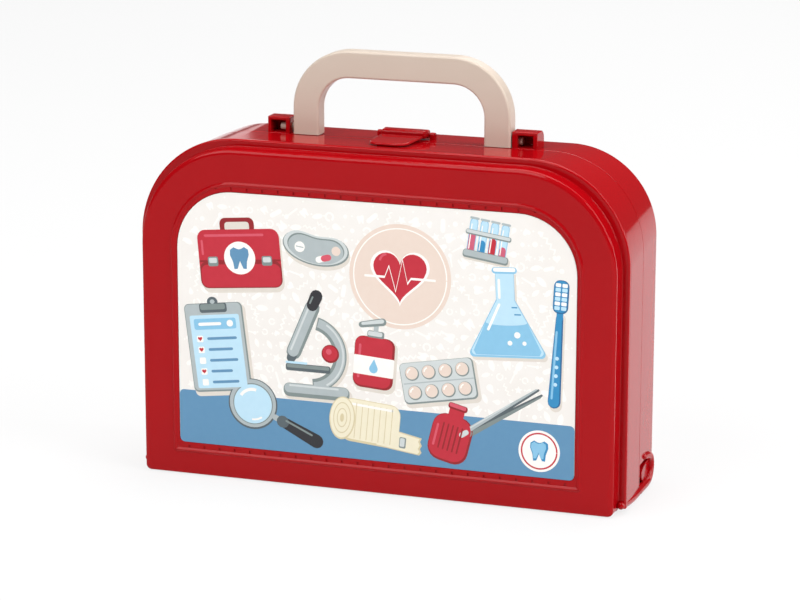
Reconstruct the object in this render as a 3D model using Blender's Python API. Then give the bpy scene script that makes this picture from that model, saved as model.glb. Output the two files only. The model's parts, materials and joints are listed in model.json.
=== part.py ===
"""Toy doctor's case: two glossy moulded shells, a swing handle and a hasp latch.

The case stands on the floor, z = 0, with its middle over the origin. The printed
face looks along -Y, and X runs to the right as one looks at it. The front shell
drops open about a hinge along the floor. The handle and the latch sit on the back
shell's top wall. Every y below is measured from the plane where the shells meet.
"""
import math

import bmesh
import bpy
from mathutils import Vector

# Case outline. The flange is the widest line round the front shell.
CASE_WIDTH = 0.2904
CASE_TOP = 0.1974
FRONT_DEPTH = 0.0455
BACK_DEPTH = 0.0367
WALL = 0.0022
GAP = 0.0003

# Raised face in front of the flange.
FACE_STEP_DEPTH = 0.0112
FACE_SIDE_INSET = 0.0046
FACE_TOP_INSET = 0.0041
FACE_BOTTOM = 0.0006
FACE_EDGE = 0.0020
FLANGE_EDGE = 0.0008
FLANGE_LENGTH = 0.0035

# Draft of the side and top walls behind the flange.
PARTING_INSET = 0.0016
REAR_INSET = 0.0032
FLANGE_LIP = 0.0003
BODY_BOTTOM = 0.0020
REAR_EDGE = 0.0030

# Corner radii, seen from the front.
FACE_CORNER = 0.0575
FLANGE_CORNER = 0.0585
PARTING_CORNER = 0.0540
REAR_CORNER = 0.0500
FOOT_CORNER = 0.0030
FLANGE_FOOT_CORNER = 0.0036
BODY_FOOT_CORNER = 0.0008
BEAD_FOOT_CORNER = 0.0006

# Tongue of the back shell, inside the lip of the front shell.
TONGUE_LENGTH = 0.0026
TONGUE_WIDTH = 0.0009
TONGUE_START = 0.0120

# Bead and label seat on the face, as margins from the face's outline.
BEAD_SIDE_MARGIN = 0.0195
BEAD_TOP_MARGIN = 0.0198
BEAD_BOTTOM_MARGIN = 0.0143
BEAD_CORNER = 0.0380
BEAD_WIDTH = 0.0026
BEAD_RISE = 0.0008
BEAD_FLANK_SHARE = 0.8
LABEL_SIDE_MARGIN = 0.0223
LABEL_TOP_MARGIN = 0.0244
LABEL_BOTTOM_MARGIN = 0.0193
LABEL_CORNER = 0.0340
LABEL_THICKNESS = 0.0005
LABEL_SINK = 0.0001

# Rims along the lower side edges, on which the case stands.
RIM_WIDTH = 0.0075
RIM_HEIGHT = 0.0038
RIM_LIFT = 0.0018
RIM_ROUND = 0.0016
RIM_REAR_INSET = 0.0012

# Moulded foot at the lower rear of each side: a frame round a shallow pocket with a boss.
FRAME_FRONT_Y = 0.0265
FRAME_WIDTH = 0.0045
FRAME_TOP = 0.0212
FRAME_TIP_Y = 0.0135
FRAME_LOWER_ROUND = 0.0044
FRAME_UPPER_ROUND = 0.0036
POCKET_DEPTH = 0.0014
POCKET_BOTTOM = 0.0050
POCKET_UPPER_Y = 0.0030
POCKET_LOWER_Y = 0.0051
BOSS_LENGTH = 0.0160
BOSS_HALF_HEIGHT = 0.0062
BOSS_CENTRE_HEIGHT = 0.0092
BOSS_RISE = 0.0008

# Floor hinge, in a channel under the meeting edges of the shells.
HINGE_HEIGHT = 0.0025
HINGE_KNUCKLE_RADIUS = 0.0023
HINGE_PIN_RADIUS = 0.0010
HINGE_SIDE_MARGIN = 0.0602
HINGE_LENGTH = 0.0300
HINGE_OPEN_ANGLE = math.radians(110.0)
HINGE_SLACK_ANGLE = math.radians(4.0)
CHANNEL_SIDE_MARGIN = 0.0132
CHANNEL_HALF_WIDTH = 0.0070
CHANNEL_TOP = 0.0052

# Handle.
HANDLE_WIDTH = 0.1300
HANDLE_HEIGHT = 0.0482
LEG_WIDTH = 0.0146
HANDLE_DEPTH = 0.0106
HANDLE_CORNER = 0.0340
HANDLE_EDGE = 0.0013
PIVOT_Y = 0.0064
PIVOT_HEIGHT = 0.0035
PIVOT_RADIUS = 0.0022
PIVOT_REACH = 0.0091
FOOT_RADIUS = 0.0029

# Lugs that hold the handle's stub pins.
LUG_START = 0.0005
LUG_CLEARANCE = 0.0008
LUG_WIDTH = 0.0146
LUG_DEPTH = 0.0135
LUG_HEIGHT = 0.0083
LUG_ROUND = 0.0050
LUG_INNER_WALL = 0.0037
LUG_OUTER_WALL = 0.0019
LUG_ROOF = 0.0016

# Hasp latch.
LATCH_Y = 0.0125
LATCH_HEIGHT = 0.0029
LATCH_ROLL_RADIUS = 0.0026
LATCH_HALF_WIDTH = 0.0128
LATCH_NOSE_HALF_WIDTH = 0.0100
LATCH_NOSE_Y = -0.0230
LATCH_NOSE_CORNER = 0.0050
LATCH_ROLL_FRONT = 0.0032
LATCH_PLATE_LIFT = 0.0013
LATCH_PLATE_THICKNESS = 0.0012
LATCH_BROW_RISE = 0.0015
LATCH_BROW_LENGTH = 0.0015
LATCH_HOOK_LENGTH = 0.0020
LATCH_HOOK_DEPTH = 0.0010
LATCH_HOOK_HALF_WIDTH = 0.0060
LATCH_PIN_RADIUS = 0.0010
EAR_GAP = 0.0014
EAR_WIDTH = 0.0032
EAR_RADIUS = 0.0027

# Counts of steps along curves.
TOP_CORNER_STEPS = 14
FOOT_CORNER_STEPS = 3
EDGE_STEPS = 3
HANDLE_CORNER_STEPS = 12
ROUND_STEPS = 24

FACE_Y = -FRONT_DEPTH
FLANGE_Y = FACE_Y + FACE_STEP_DEPTH
FACE_HALF = CASE_WIDTH / 2 - FACE_SIDE_INSET
FACE_TOP = CASE_TOP - FACE_TOP_INSET
MEETING_Y = (FRONT_DEPTH + BEAD_RISE - BACK_DEPTH) / 2
CHANNEL_HALF_LENGTH = CASE_WIDTH / 2 - CHANNEL_SIDE_MARGIN
HINGE_OFFSET = CASE_WIDTH / 2 - HINGE_SIDE_MARGIN
HANDLE_TOP = CASE_TOP + HANDLE_HEIGHT
LATCH_PLATE_TOP = CASE_TOP + LATCH_PLATE_LIFT
FULL_TURN = 2 * math.pi
QUARTER_TURN = math.pi / 2


# Scene set-up

def clear_scene():
    """Remove every object of the open file."""
    for item in list(bpy.data.objects):
        bpy.data.objects.remove(item)


def make_material(name, colour, roughness):
    """A plain moulded or printed surface."""
    material = bpy.data.materials.new(name)
    material.use_nodes = True
    shader = material.node_tree.nodes["Principled BSDF"]
    shader.inputs["Base Color"].default_value = (*colour, 1.0)
    shader.inputs["Roughness"].default_value = roughness
    shader.inputs["Metallic"].default_value = 0.0
    material.diffuse_color = (*colour, 1.0)
    return material


def add_object(name, mesh_builder, material=None, origin=(0.0, 0.0, 0.0)):
    """Turn a bmesh into an object with its origin at a point, and move it over the case's middle."""
    bmesh.ops.recalc_face_normals(mesh_builder, faces=mesh_builder.faces)
    bmesh.ops.translate(mesh_builder, verts=mesh_builder.verts, vec=-Vector(origin))
    mesh = bpy.data.meshes.new(name)
    mesh_builder.to_mesh(mesh)
    mesh_builder.free()
    mesh.shade_smooth()
    mesh.set_sharp_from_angle(angle=math.radians(35.0))
    item = bpy.data.objects.new(name, mesh)
    item.location = Vector(origin) + Vector((0.0, MEETING_Y, 0.0))
    bpy.context.scene.collection.objects.link(item)
    if material:
        mesh.materials.append(material)
    return item


def add_boolean(item, tool, operation):
    """Join or cut with a hidden tool object."""
    tool.hide_render = True
    tool.display_type = "WIRE"
    modifier = item.modifiers.new(tool.name, "BOOLEAN")
    modifier.operation = operation
    modifier.solver = "EXACT"
    modifier.object = tool


# Outlines and solids

def corner_arc(centre_x, centre_z, radius, start, steps):
    """Points of a quarter circle in the XZ plane, counter-clockwise."""
    points = []
    for step in range(steps + 1):
        angle = start + QUARTER_TURN * step / steps
        points.append((centre_x + radius * math.cos(angle), centre_z + radius * math.sin(angle)))
    return points


def outline(half_width, bottom, top, top_radius, foot_radius):
    """The case's outline: large round top corners, small bottom corners."""
    right = half_width - top_radius
    foot = half_width - foot_radius
    points = corner_arc(right, top - top_radius, top_radius, 0.0, TOP_CORNER_STEPS)
    points += corner_arc(-right, top - top_radius, top_radius, QUARTER_TURN, TOP_CORNER_STEPS)
    points += corner_arc(-foot, bottom + foot_radius, foot_radius, math.pi, FOOT_CORNER_STEPS)
    points += corner_arc(foot, bottom + foot_radius, foot_radius, -QUARTER_TURN, FOOT_CORNER_STEPS)
    return points


def loft(stations):
    """Skin a closed body through (y, outline) stations and cap both ends."""
    shape = bmesh.new()
    loops = []
    for y, points in stations:
        loops.append([shape.verts.new((x, y, z)) for x, z in points])
    count = len(loops[0])
    for first, second in zip(loops, loops[1:]):
        for i in range(count):
            j = (i + 1) % count
            shape.faces.new((first[i], first[j], second[j], second[i]))
    shape.faces.new(loops[0])
    shape.faces.new(loops[-1])
    return shape


def add_prism(shape, profile, x_start, x_end):
    """Extrude a closed (y, z) profile along X and cap it."""
    left = [shape.verts.new((x_start, y, z)) for y, z in profile]
    right = [shape.verts.new((x_end, y, z)) for y, z in profile]
    count = len(profile)
    for i in range(count):
        j = (i + 1) % count
        shape.faces.new((left[i], left[j], right[j], right[i]))
    shape.faces.new(left)
    shape.faces.new(right)


def circle_profile(y, z, radius, steps=ROUND_STEPS):
    """A circle in the YZ plane."""
    return [(y + radius * math.cos(FULL_TURN * i / steps), z + radius * math.sin(FULL_TURN * i / steps))
            for i in range(steps)]


def box_profile(y_start, y_end, z_start, z_end):
    """A rectangle in the YZ plane."""
    return [(y_start, z_start), (y_end, z_start), (y_end, z_end), (y_start, z_end)]


def arc_profile(y, z, radius, start, end, steps):
    """Points of an arc in the YZ plane."""
    return [(y + radius * math.cos(start + (end - start) * i / steps),
             z + radius * math.sin(start + (end - start) * i / steps)) for i in range(steps + 1)]


# Walls of the case

def flange_outline(inset, bottom):
    """The flange's outline, drawn in by an inset."""
    return outline(CASE_WIDTH / 2 - inset, bottom, CASE_TOP - inset, FLANGE_CORNER - inset,
                   FLANGE_FOOT_CORNER)


def face_outline(inset, bottom_inset):
    """The raised face's outline, drawn in by an inset."""
    return outline(FACE_HALF - inset, FACE_BOTTOM + bottom_inset, FACE_TOP - inset,
                   FACE_CORNER - inset, FOOT_CORNER)


def body_inset(y):
    """How far the drafted wall lies inside the flange's outline."""
    if y < 0:
        return FLANGE_LIP + (PARTING_INSET - FLANGE_LIP) * (y - FLANGE_Y) / -FLANGE_Y
    return PARTING_INSET + (REAR_INSET - PARTING_INSET) * y / BACK_DEPTH


def body_corner(y):
    """Top corner radius of the drafted wall."""
    if y < 0:
        return FLANGE_CORNER + (PARTING_CORNER - FLANGE_CORNER) * (y - FLANGE_Y) / -FLANGE_Y
    return PARTING_CORNER + (REAR_CORNER - PARTING_CORNER) * y / BACK_DEPTH


def body_outline(y, inset):
    """The drafted wall's outline at a depth, drawn in by a further inset."""
    draft = body_inset(y) + inset
    return outline(CASE_WIDTH / 2 - draft, BODY_BOTTOM + inset, CASE_TOP - draft,
                   body_corner(y) - inset, BODY_FOOT_CORNER)


def wall_top(y):
    """Height of the top wall's outer surface at a depth."""
    return CASE_TOP - body_inset(y)


def wall_side(y):
    """Half width over the side walls at a depth."""
    return CASE_WIDTH / 2 - body_inset(y)


def bead_outline(offset):
    """The raised bead's outline on the face, moved outwards by an offset."""
    return outline(FACE_HALF - BEAD_SIDE_MARGIN + offset, FACE_BOTTOM + BEAD_BOTTOM_MARGIN - offset,
                   FACE_TOP - BEAD_TOP_MARGIN + offset, BEAD_CORNER + offset, BEAD_FOOT_CORNER)


def label_outline(offset):
    """The label's outline, moved outwards by an offset."""
    return outline(FACE_HALF - LABEL_SIDE_MARGIN + offset, FACE_BOTTOM + LABEL_BOTTOM_MARGIN - offset,
                   FACE_TOP - LABEL_TOP_MARGIN + offset, LABEL_CORNER + offset, FOOT_CORNER)


# Front shell

def front_face_stations():
    """Label seat, bead and face, out to the rounded edge."""
    seat_floor = FACE_Y + LABEL_SINK + LABEL_THICKNESS + GAP
    half_bead = BEAD_WIDTH / 2
    flank = FACE_Y - BEAD_RISE * BEAD_FLANK_SHARE
    stations = [(seat_floor, label_outline(GAP)),
                (FACE_Y, label_outline(GAP)),
                (FACE_Y, bead_outline(-half_bead)),
                (flank, bead_outline(-half_bead / 2)),
                (FACE_Y - BEAD_RISE, bead_outline(0.0)),
                (flank, bead_outline(half_bead / 2)),
                (FACE_Y, bead_outline(half_bead))]
    for step in range(EDGE_STEPS + 1):
        angle = QUARTER_TURN * step / EDGE_STEPS
        inset = FACE_EDGE * (1 - math.sin(angle))
        y = FACE_Y + FACE_EDGE * (1 - math.cos(angle))
        stations.append((y, face_outline(inset, inset)))
    return stations


def front_shell_stations():
    """Outer skin from the face to the parting plane, then the inner skin back."""
    flange_end = FLANGE_Y + FLANGE_LENGTH
    stations = front_face_stations()
    stations += [(FLANGE_Y, face_outline(0.0, 0.0)),
                 (FLANGE_Y, flange_outline(FLANGE_EDGE, FACE_BOTTOM / 2)),
                 (FLANGE_Y + FLANGE_EDGE, flange_outline(0.0, 0.0)),
                 (flange_end, flange_outline(0.0, 0.0)),
                 (flange_end, body_outline(flange_end, 0.0)),
                 (-GAP / 2, body_outline(-GAP / 2, 0.0))]
    lip = WALL - TONGUE_WIDTH - GAP
    pocket = -TONGUE_LENGTH - GAP
    inner_step = FLANGE_Y + WALL
    stations += [(-GAP / 2, body_outline(-GAP / 2, lip)), (pocket, body_outline(pocket, lip)),
                 (pocket, body_outline(pocket, WALL)), (inner_step, body_outline(inner_step, WALL)),
                 (inner_step, face_outline(WALL, WALL)),
                 (FACE_Y + FACE_EDGE + WALL, face_outline(WALL, WALL)),
                 (FACE_Y + WALL + LABEL_THICKNESS + GAP, face_outline(FACE_EDGE + WALL, FACE_EDGE + WALL))]
    return stations


def rim_section(y):
    """Rounded cross-section of a floor rim as (distance in from its outer face, height)."""
    foot = RIM_LIFT * max(-y, 0.0) / -FLANGE_Y
    angles = (0.0, QUARTER_TURN / 3, 2 * QUARTER_TURN / 3, QUARTER_TURN)
    depth = [RIM_ROUND * (1 - math.cos(a)) for a in angles]
    rise = [RIM_ROUND * (1 - math.sin(a)) for a in angles]
    low = [(d, foot + r) for d, r in zip(depth, rise)]
    high = [(d, RIM_HEIGHT - r) for d, r in zip(depth, rise)]
    merged = low[::-1] + high[1:]
    return [(RIM_WIDTH, foot)] + merged + [(RIM_WIDTH, RIM_HEIGHT)]


def rim_outer(y):
    """Half width over the rims at a depth."""
    return CASE_WIDTH / 2 - RIM_REAR_INSET * max(y - FLANGE_Y, 0.0) / (BACK_DEPTH - FLANGE_Y)


def add_rim(shape, side, y_start, y_end):
    """A rim along one side, from one depth to another."""
    loops = []
    for y in (y_start, y_end):
        outer = rim_outer(y)
        loops.append([shape.verts.new((side * (outer - inwards), y, z)) for inwards, z in rim_section(y)])
    count = len(loops[0])
    for i in range(count):
        j = (i + 1) % count
        shape.faces.new((loops[0][i], loops[0][j], loops[1][j], loops[1][i]))
    shape.faces.new(loops[0])
    shape.faces.new(loops[1])


def hinge_relief(name, side_y):
    """Wedge that cuts the side edges back below the hinge axis, so that the shells can swing apart."""
    shape = bmesh.new()
    reach = HINGE_HEIGHT * math.tan(HINGE_OPEN_ANGLE / 2 + HINGE_SLACK_ANGLE)
    profile = [(0.0, HINGE_HEIGHT + GAP), (side_y * reach, 0.0), (side_y * reach, -HINGE_HEIGHT),
               (-side_y * GAP, -HINGE_HEIGHT), (-side_y * GAP, HINGE_HEIGHT + GAP)]
    inner = CHANNEL_HALF_LENGTH - GAP
    outer = CASE_WIDTH / 2 + GAP
    add_prism(shape, profile, -outer, -inner)
    add_prism(shape, profile, inner, outer)
    return add_object(name, shape)


def add_channel_pad(shape, side_y):
    """Raise the bottom wall's inside over the hinge channel."""
    near = side_y * GAP / 2
    far = side_y * (CHANNEL_HALF_WIDTH + WALL)
    profile = box_profile(near, far, BODY_BOTTOM + WALL / 2, CHANNEL_TOP + WALL)
    reach = CHANNEL_HALF_LENGTH + WALL
    add_prism(shape, profile, -reach, reach)


def hinge_channel(name, side_y):
    """Half of the channel that the hinge knuckles lie in."""
    shape = bmesh.new()
    profile = box_profile(-side_y * GAP, side_y * CHANNEL_HALF_WIDTH, -HINGE_HEIGHT, CHANNEL_TOP)
    add_prism(shape, profile, -CHANNEL_HALF_LENGTH, CHANNEL_HALF_LENGTH)
    return add_object(name, shape)


def add_knuckle(shape, x_start, x_end, side):
    """A hinge knuckle with a web up to the shell's bottom wall on one side of the axis."""
    radius = HINGE_KNUCKLE_RADIUS
    web_top = CHANNEL_TOP + WALL / 2
    arc = arc_profile(0.0, HINGE_HEIGHT, radius, QUARTER_TURN, FULL_TURN, ROUND_STEPS)
    profile = [(side * y, z) for y, z in arc + [(radius, web_top), (GAP, web_top)]]
    add_prism(shape, profile, x_start, x_end)


def knuckle_spans(side_x):
    """The three knuckles of one hinge: outer two on the back shell, middle one on the front."""
    centre = side_x * HINGE_OFFSET
    third = HINGE_LENGTH / 3
    edges = [centre - third * 1.5, centre - third / 2, centre + third / 2, centre + third * 1.5]
    half = GAP / 2
    return [(edges[0], edges[1] - half), (edges[1] + half, edges[2] - half), (edges[2] + half, edges[3])]


def build_front_shell(material):
    """The lid: stepped face, flange, drafted wall, rims and middle hinge knuckles."""
    shell = add_object("front_shell", loft(front_shell_stations()), material,
                       (0.0, 0.0, HINGE_HEIGHT))
    add_boolean(shell, front_additions(), "UNION")
    add_boolean(shell, hinge_channel("front_shell_channel", -1), "DIFFERENCE")
    add_boolean(shell, hinge_relief("front_shell_relief", -1), "DIFFERENCE")
    add_boolean(shell, front_knuckles(), "UNION")
    add_boolean(shell, front_cuts(), "DIFFERENCE")
    return shell


def front_additions():
    """Rims and the pad over the hinge channel."""
    shape = bmesh.new()
    add_channel_pad(shape, -1)
    for side in (-1, 1):
        add_rim(shape, side, FLANGE_Y + (WALL + FLANGE_LENGTH) / 2, -GAP / 2)
    return add_object("front_shell_additions", shape)


def front_knuckles():
    """The middle knuckle of each hinge."""
    shape = bmesh.new()
    for side in (-1, 1):
        add_knuckle(shape, *knuckle_spans(side)[1], -1)
    return add_object("front_shell_knuckles", shape)


def front_cuts():
    """Hinge bores and the pocket that the latch's hook drops into."""
    shape = bmesh.new()
    for side in (-1, 1):
        start, end = knuckle_spans(side)[1]
        add_prism(shape, circle_profile(0.0, HINGE_HEIGHT, HINGE_PIN_RADIUS + GAP), start - GAP, end + GAP)
    hook_start = LATCH_NOSE_Y + LATCH_PLATE_THICKNESS
    hook_end = hook_start + LATCH_HOOK_LENGTH
    floor = wall_top(hook_start) - LATCH_HOOK_DEPTH - GAP
    ceiling = CASE_TOP + GAP
    reach = LATCH_HOOK_HALF_WIDTH + 2 * GAP
    add_prism(shape, box_profile(hook_start - 2 * GAP, hook_end + GAP, floor, ceiling), -reach, reach)
    return add_object("front_shell_cuts", shape)


def build_label(material):
    """The printed card in its seat on the face."""
    front = FACE_Y + LABEL_SINK
    stations = [(front, label_outline(0.0)), (front + LABEL_THICKNESS, label_outline(0.0))]
    return add_object("front_label", loft(stations), material, (0.0, front, FACE_BOTTOM))


# Back shell

def back_shell_stations():
    """Outer skin from the rear panel to the parting plane, tongue, then the inner skin."""
    stations = []
    for step in range(EDGE_STEPS + 1):
        angle = QUARTER_TURN * step / EDGE_STEPS
        y = BACK_DEPTH - REAR_EDGE * (1 - math.cos(angle))
        stations.append((y, body_outline(y, REAR_EDGE * (1 - math.sin(angle)))))
    ledge = WALL - TONGUE_WIDTH
    stations += [(GAP / 2, body_outline(0.0, 0.0)), (GAP / 2, body_outline(0.0, ledge)),
                 (-TONGUE_LENGTH, body_outline(0.0, ledge)), (-TONGUE_LENGTH, body_outline(0.0, WALL)),
                 (BACK_DEPTH - REAR_EDGE - WALL / 2, body_outline(BACK_DEPTH, WALL)),
                 (BACK_DEPTH - WALL, body_outline(BACK_DEPTH, WALL + REAR_EDGE / 2))]
    return stations


def frame_profile():
    """Side view of a foot frame: an upright with a lip returning forwards at its top."""
    rear = FRAME_FRONT_Y + FRAME_WIDTH
    low = arc_profile(rear - FRAME_LOWER_ROUND, FRAME_LOWER_ROUND, FRAME_LOWER_ROUND, -QUARTER_TURN, 0.0, 6)
    high = arc_profile(rear - FRAME_UPPER_ROUND, FRAME_TOP - FRAME_UPPER_ROUND, FRAME_UPPER_ROUND,
                       0.0, QUARTER_TURN, 6)
    under = FRAME_TOP - FRAME_WIDTH
    return low + high + [(FRAME_TIP_Y, FRAME_TOP), (FRAME_TIP_Y, under), (FRAME_FRONT_Y, under),
                         (FRAME_FRONT_Y, 0.0)]


def pocket_profile(margin):
    """Side view of the pocket inside the foot frame, grown by a margin."""
    top = FRAME_TOP - FRAME_WIDTH + GAP
    rear = FRAME_FRONT_Y + GAP
    return [(POCKET_LOWER_Y - margin, POCKET_BOTTOM - margin), (rear + margin, POCKET_BOTTOM - margin),
            (rear + margin, top + margin), (POCKET_UPPER_Y - margin, top + margin)]


def pocket_floor():
    """Half width over the floors of the foot pockets."""
    return wall_side(FRAME_FRONT_Y) - POCKET_DEPTH


def add_side_prism(shape, profile, side, inner, outer):
    """A prism on one side of the case, between two distances from the middle."""
    add_prism(shape, profile, min(side * inner, side * outer), max(side * inner, side * outer))


def foot_backings():
    """Thicken the side walls inside, where the foot pockets are sunk into them."""
    shape = bmesh.new()
    for side in (-1, 1):
        inner = pocket_floor() - WALL
        add_side_prism(shape, pocket_profile(WALL / 2), side, inner, wall_side(FRAME_FRONT_Y) - WALL / 2)
    return add_object("back_shell_foot_backings", shape)


def foot_pockets():
    """Sink the foot pockets into the side walls."""
    shape = bmesh.new()
    for side in (-1, 1):
        add_side_prism(shape, pocket_profile(0.0), side, pocket_floor(), CASE_WIDTH / 2 + GAP)
    return add_object("back_shell_foot_pockets", shape)


def foot_bosses():
    """The round-nosed boss in each pocket."""
    shape = bmesh.new()
    nose = [(FRAME_FRONT_Y - BOSS_LENGTH * math.sin(math.pi * step / ROUND_STEPS),
             BOSS_CENTRE_HEIGHT + BOSS_HALF_HEIGHT * math.cos(math.pi * step / ROUND_STEPS))
            for step in range(ROUND_STEPS + 1)]
    for side in (-1, 1):
        add_side_prism(shape, nose, side, pocket_floor() - WALL / 2, pocket_floor() + BOSS_RISE)
    return add_object("back_shell_foot_bosses", shape)


def foot_frames():
    """The upright and the returning lip round each pocket, proud of the side wall."""
    shape = bmesh.new()
    for side in (-1, 1):
        inner = wall_side(FRAME_FRONT_Y) - POCKET_DEPTH - WALL / 2
        add_side_prism(shape, frame_profile(), side, inner, rim_outer(BACK_DEPTH))
    return add_object("back_shell_foot_frames", shape)


def lug_profile():
    """Side view of a lug: upright front, flat top, rounded rear."""
    front = LUG_START
    rear = LUG_START + LUG_DEPTH
    base = wall_top(front) - WALL / 2
    top = wall_top(front) + LUG_HEIGHT
    arc = arc_profile(rear - LUG_ROUND, top - LUG_ROUND, LUG_ROUND, QUARTER_TURN, 0.0, 6)
    return [(rear, base), (front, base), (front, top)] + arc


def add_lug(shape, side):
    """A solid lug outboard of a handle leg."""
    inner = side * (HANDLE_WIDTH / 2 + LUG_CLEARANCE)
    outer = inner + side * LUG_WIDTH
    add_prism(shape, lug_profile(), min(inner, outer), max(inner, outer))


def add_lug_hollow(shape, side):
    """The lug's hollow, open to the front."""
    lug_inner = side * (HANDLE_WIDTH / 2 + LUG_CLEARANCE)
    near = lug_inner + side * LUG_INNER_WALL
    far = lug_inner + side * (LUG_WIDTH - LUG_OUTER_WALL)
    floor = wall_top(LUG_START) + GAP
    roof = wall_top(LUG_START) + LUG_HEIGHT - LUG_ROOF
    rear = LUG_START + LUG_DEPTH - LUG_OUTER_WALL
    round_end = LUG_ROUND - LUG_ROOF
    arc = arc_profile(rear - round_end, roof - round_end, round_end, QUARTER_TURN, 0.0, 4)
    profile = [(rear, floor), (LUG_START - GAP, floor), (LUG_START - GAP, roof)] + arc
    add_prism(shape, profile, min(near, far), max(near, far))


def pivot_z():
    """Height of the handle's swing axis."""
    return wall_top(PIVOT_Y) + PIVOT_HEIGHT


def latch_z():
    """Height of the latch's hinge axis."""
    return wall_top(LATCH_Y) + LATCH_HEIGHT


def add_ear(shape, side):
    """An upright ear that holds one end of the latch pin."""
    inner = side * (LATCH_HALF_WIDTH + EAR_GAP)
    outer = inner + side * EAR_WIDTH
    base = wall_top(LATCH_Y) - WALL / 2
    arc = arc_profile(LATCH_Y, latch_z(), EAR_RADIUS, 0.0, math.pi, 12)
    profile = arc + [(LATCH_Y - EAR_RADIUS, base), (LATCH_Y + EAR_RADIUS, base)]
    add_prism(shape, profile, min(inner, outer), max(inner, outer))


def build_back_shell(material):
    """The body: drafted wall, rear panel, tongue, lugs, ears, rims and hinge knuckles."""
    shell = add_object("back_shell", loft(back_shell_stations()), material)
    add_boolean(shell, foot_backings(), "UNION")
    add_boolean(shell, foot_pockets(), "DIFFERENCE")
    add_boolean(shell, foot_bosses(), "UNION")
    add_boolean(shell, foot_frames(), "UNION")
    add_boolean(shell, back_additions(), "UNION")
    add_boolean(shell, hinge_channel("back_shell_channel", 1), "DIFFERENCE")
    add_boolean(shell, hinge_relief("back_shell_relief", 1), "DIFFERENCE")
    add_boolean(shell, tongue_trim(), "DIFFERENCE")
    add_boolean(shell, back_knuckles(), "UNION")
    add_boolean(shell, lug_hollows(), "DIFFERENCE")
    add_boolean(shell, back_bores(), "DIFFERENCE")
    return shell


def back_additions():
    """Rims, lugs, latch ears and the pad over the hinge channel."""
    shape = bmesh.new()
    add_channel_pad(shape, 1)
    for side in (-1, 1):
        add_rim(shape, side, GAP / 2, FRAME_FRONT_Y + GAP)
        add_lug(shape, side)
        add_ear(shape, side)
    return add_object("back_shell_additions", shape)


def tongue_trim():
    """Cut the tongue away where the shells turn on the hinge."""
    shape = bmesh.new()
    reach = CASE_WIDTH / 2
    add_prism(shape, box_profile(-TONGUE_LENGTH - GAP, GAP / 2, 0.0, TONGUE_START), -reach, reach)
    return add_object("back_shell_tongue_trim", shape)


def back_knuckles():
    """The outer knuckles of each hinge."""
    shape = bmesh.new()
    for side in (-1, 1):
        spans = knuckle_spans(side)
        add_knuckle(shape, *spans[0], 1)
        add_knuckle(shape, *spans[2], 1)
    return add_object("back_shell_knuckles", shape)


def lug_hollows():
    """The hollow inside each lug."""
    shape = bmesh.new()
    for side in (-1, 1):
        add_lug_hollow(shape, side)
    return add_object("back_shell_lug_hollows", shape)


def back_bores():
    """Bores for the latch pin, the handle's stub pins and the hinge pins."""
    shape = bmesh.new()
    reach = LATCH_HALF_WIDTH + EAR_GAP + EAR_WIDTH + GAP
    add_prism(shape, circle_profile(LATCH_Y, latch_z(), LATCH_PIN_RADIUS + GAP), -reach, reach)
    lug_inner = HANDLE_WIDTH / 2 + LUG_CLEARANCE
    for side in (-1, 1):
        stub = circle_profile(PIVOT_Y, pivot_z(), PIVOT_RADIUS + GAP)
        add_side_prism(shape, stub, side, lug_inner - GAP, lug_inner + LUG_INNER_WALL + GAP)
        spans = knuckle_spans(side)
        bore = circle_profile(0.0, HINGE_HEIGHT, HINGE_PIN_RADIUS + GAP)
        add_prism(shape, bore, spans[0][0] - GAP, spans[2][1] + GAP)
    return add_object("back_shell_bores", shape)


def build_hinge_pin(name, side, material):
    """The rod through one hinge's three knuckles."""
    spans = knuckle_spans(side)
    shape = bmesh.new()
    profile = circle_profile(0.0, HINGE_HEIGHT, HINGE_PIN_RADIUS, 16)
    add_prism(shape, profile, spans[0][0], spans[2][1])
    return add_object(name, shape, material, (side * HINGE_OFFSET, 0.0, HINGE_HEIGHT))


# Handle

def handle_path():
    """Centre line of the handle with its outward normal, from the left foot to the right."""
    reach = HANDLE_WIDTH / 2 - LEG_WIDTH / 2
    radius = HANDLE_CORNER - LEG_WIDTH / 2
    foot = pivot_z() - FOOT_RADIUS
    corner_z = HANDLE_TOP - HANDLE_CORNER
    corner_x = reach - radius
    path = [(-reach, foot, math.pi)]
    for step in range(HANDLE_CORNER_STEPS + 1):
        angle = math.pi - QUARTER_TURN * step / HANDLE_CORNER_STEPS
        path.append((-corner_x + radius * math.cos(angle), corner_z + radius * math.sin(angle), angle))
    for step in range(HANDLE_CORNER_STEPS + 1):
        angle = QUARTER_TURN - QUARTER_TURN * step / HANDLE_CORNER_STEPS
        path.append((corner_x + radius * math.cos(angle), corner_z + radius * math.sin(angle), angle))
    path.append((reach, foot, 0.0))
    return path


def handle_section():
    """Rounded rectangle across the handle as (outwards, y)."""
    half = LEG_WIDTH / 2 - HANDLE_EDGE
    rear = PIVOT_Y + FOOT_RADIUS
    front = rear - HANDLE_DEPTH
    corners = [(half, rear - HANDLE_EDGE, 0.0), (-half, rear - HANDLE_EDGE, QUARTER_TURN),
               (-half, front + HANDLE_EDGE, math.pi), (half, front + HANDLE_EDGE, 3 * QUARTER_TURN)]
    section = []
    for out, y, start in corners:
        for step in range(EDGE_STEPS + 1):
            angle = start + QUARTER_TURN * step / EDGE_STEPS
            section.append((out + HANDLE_EDGE * math.cos(angle), y + HANDLE_EDGE * math.sin(angle)))
    return section


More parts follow.
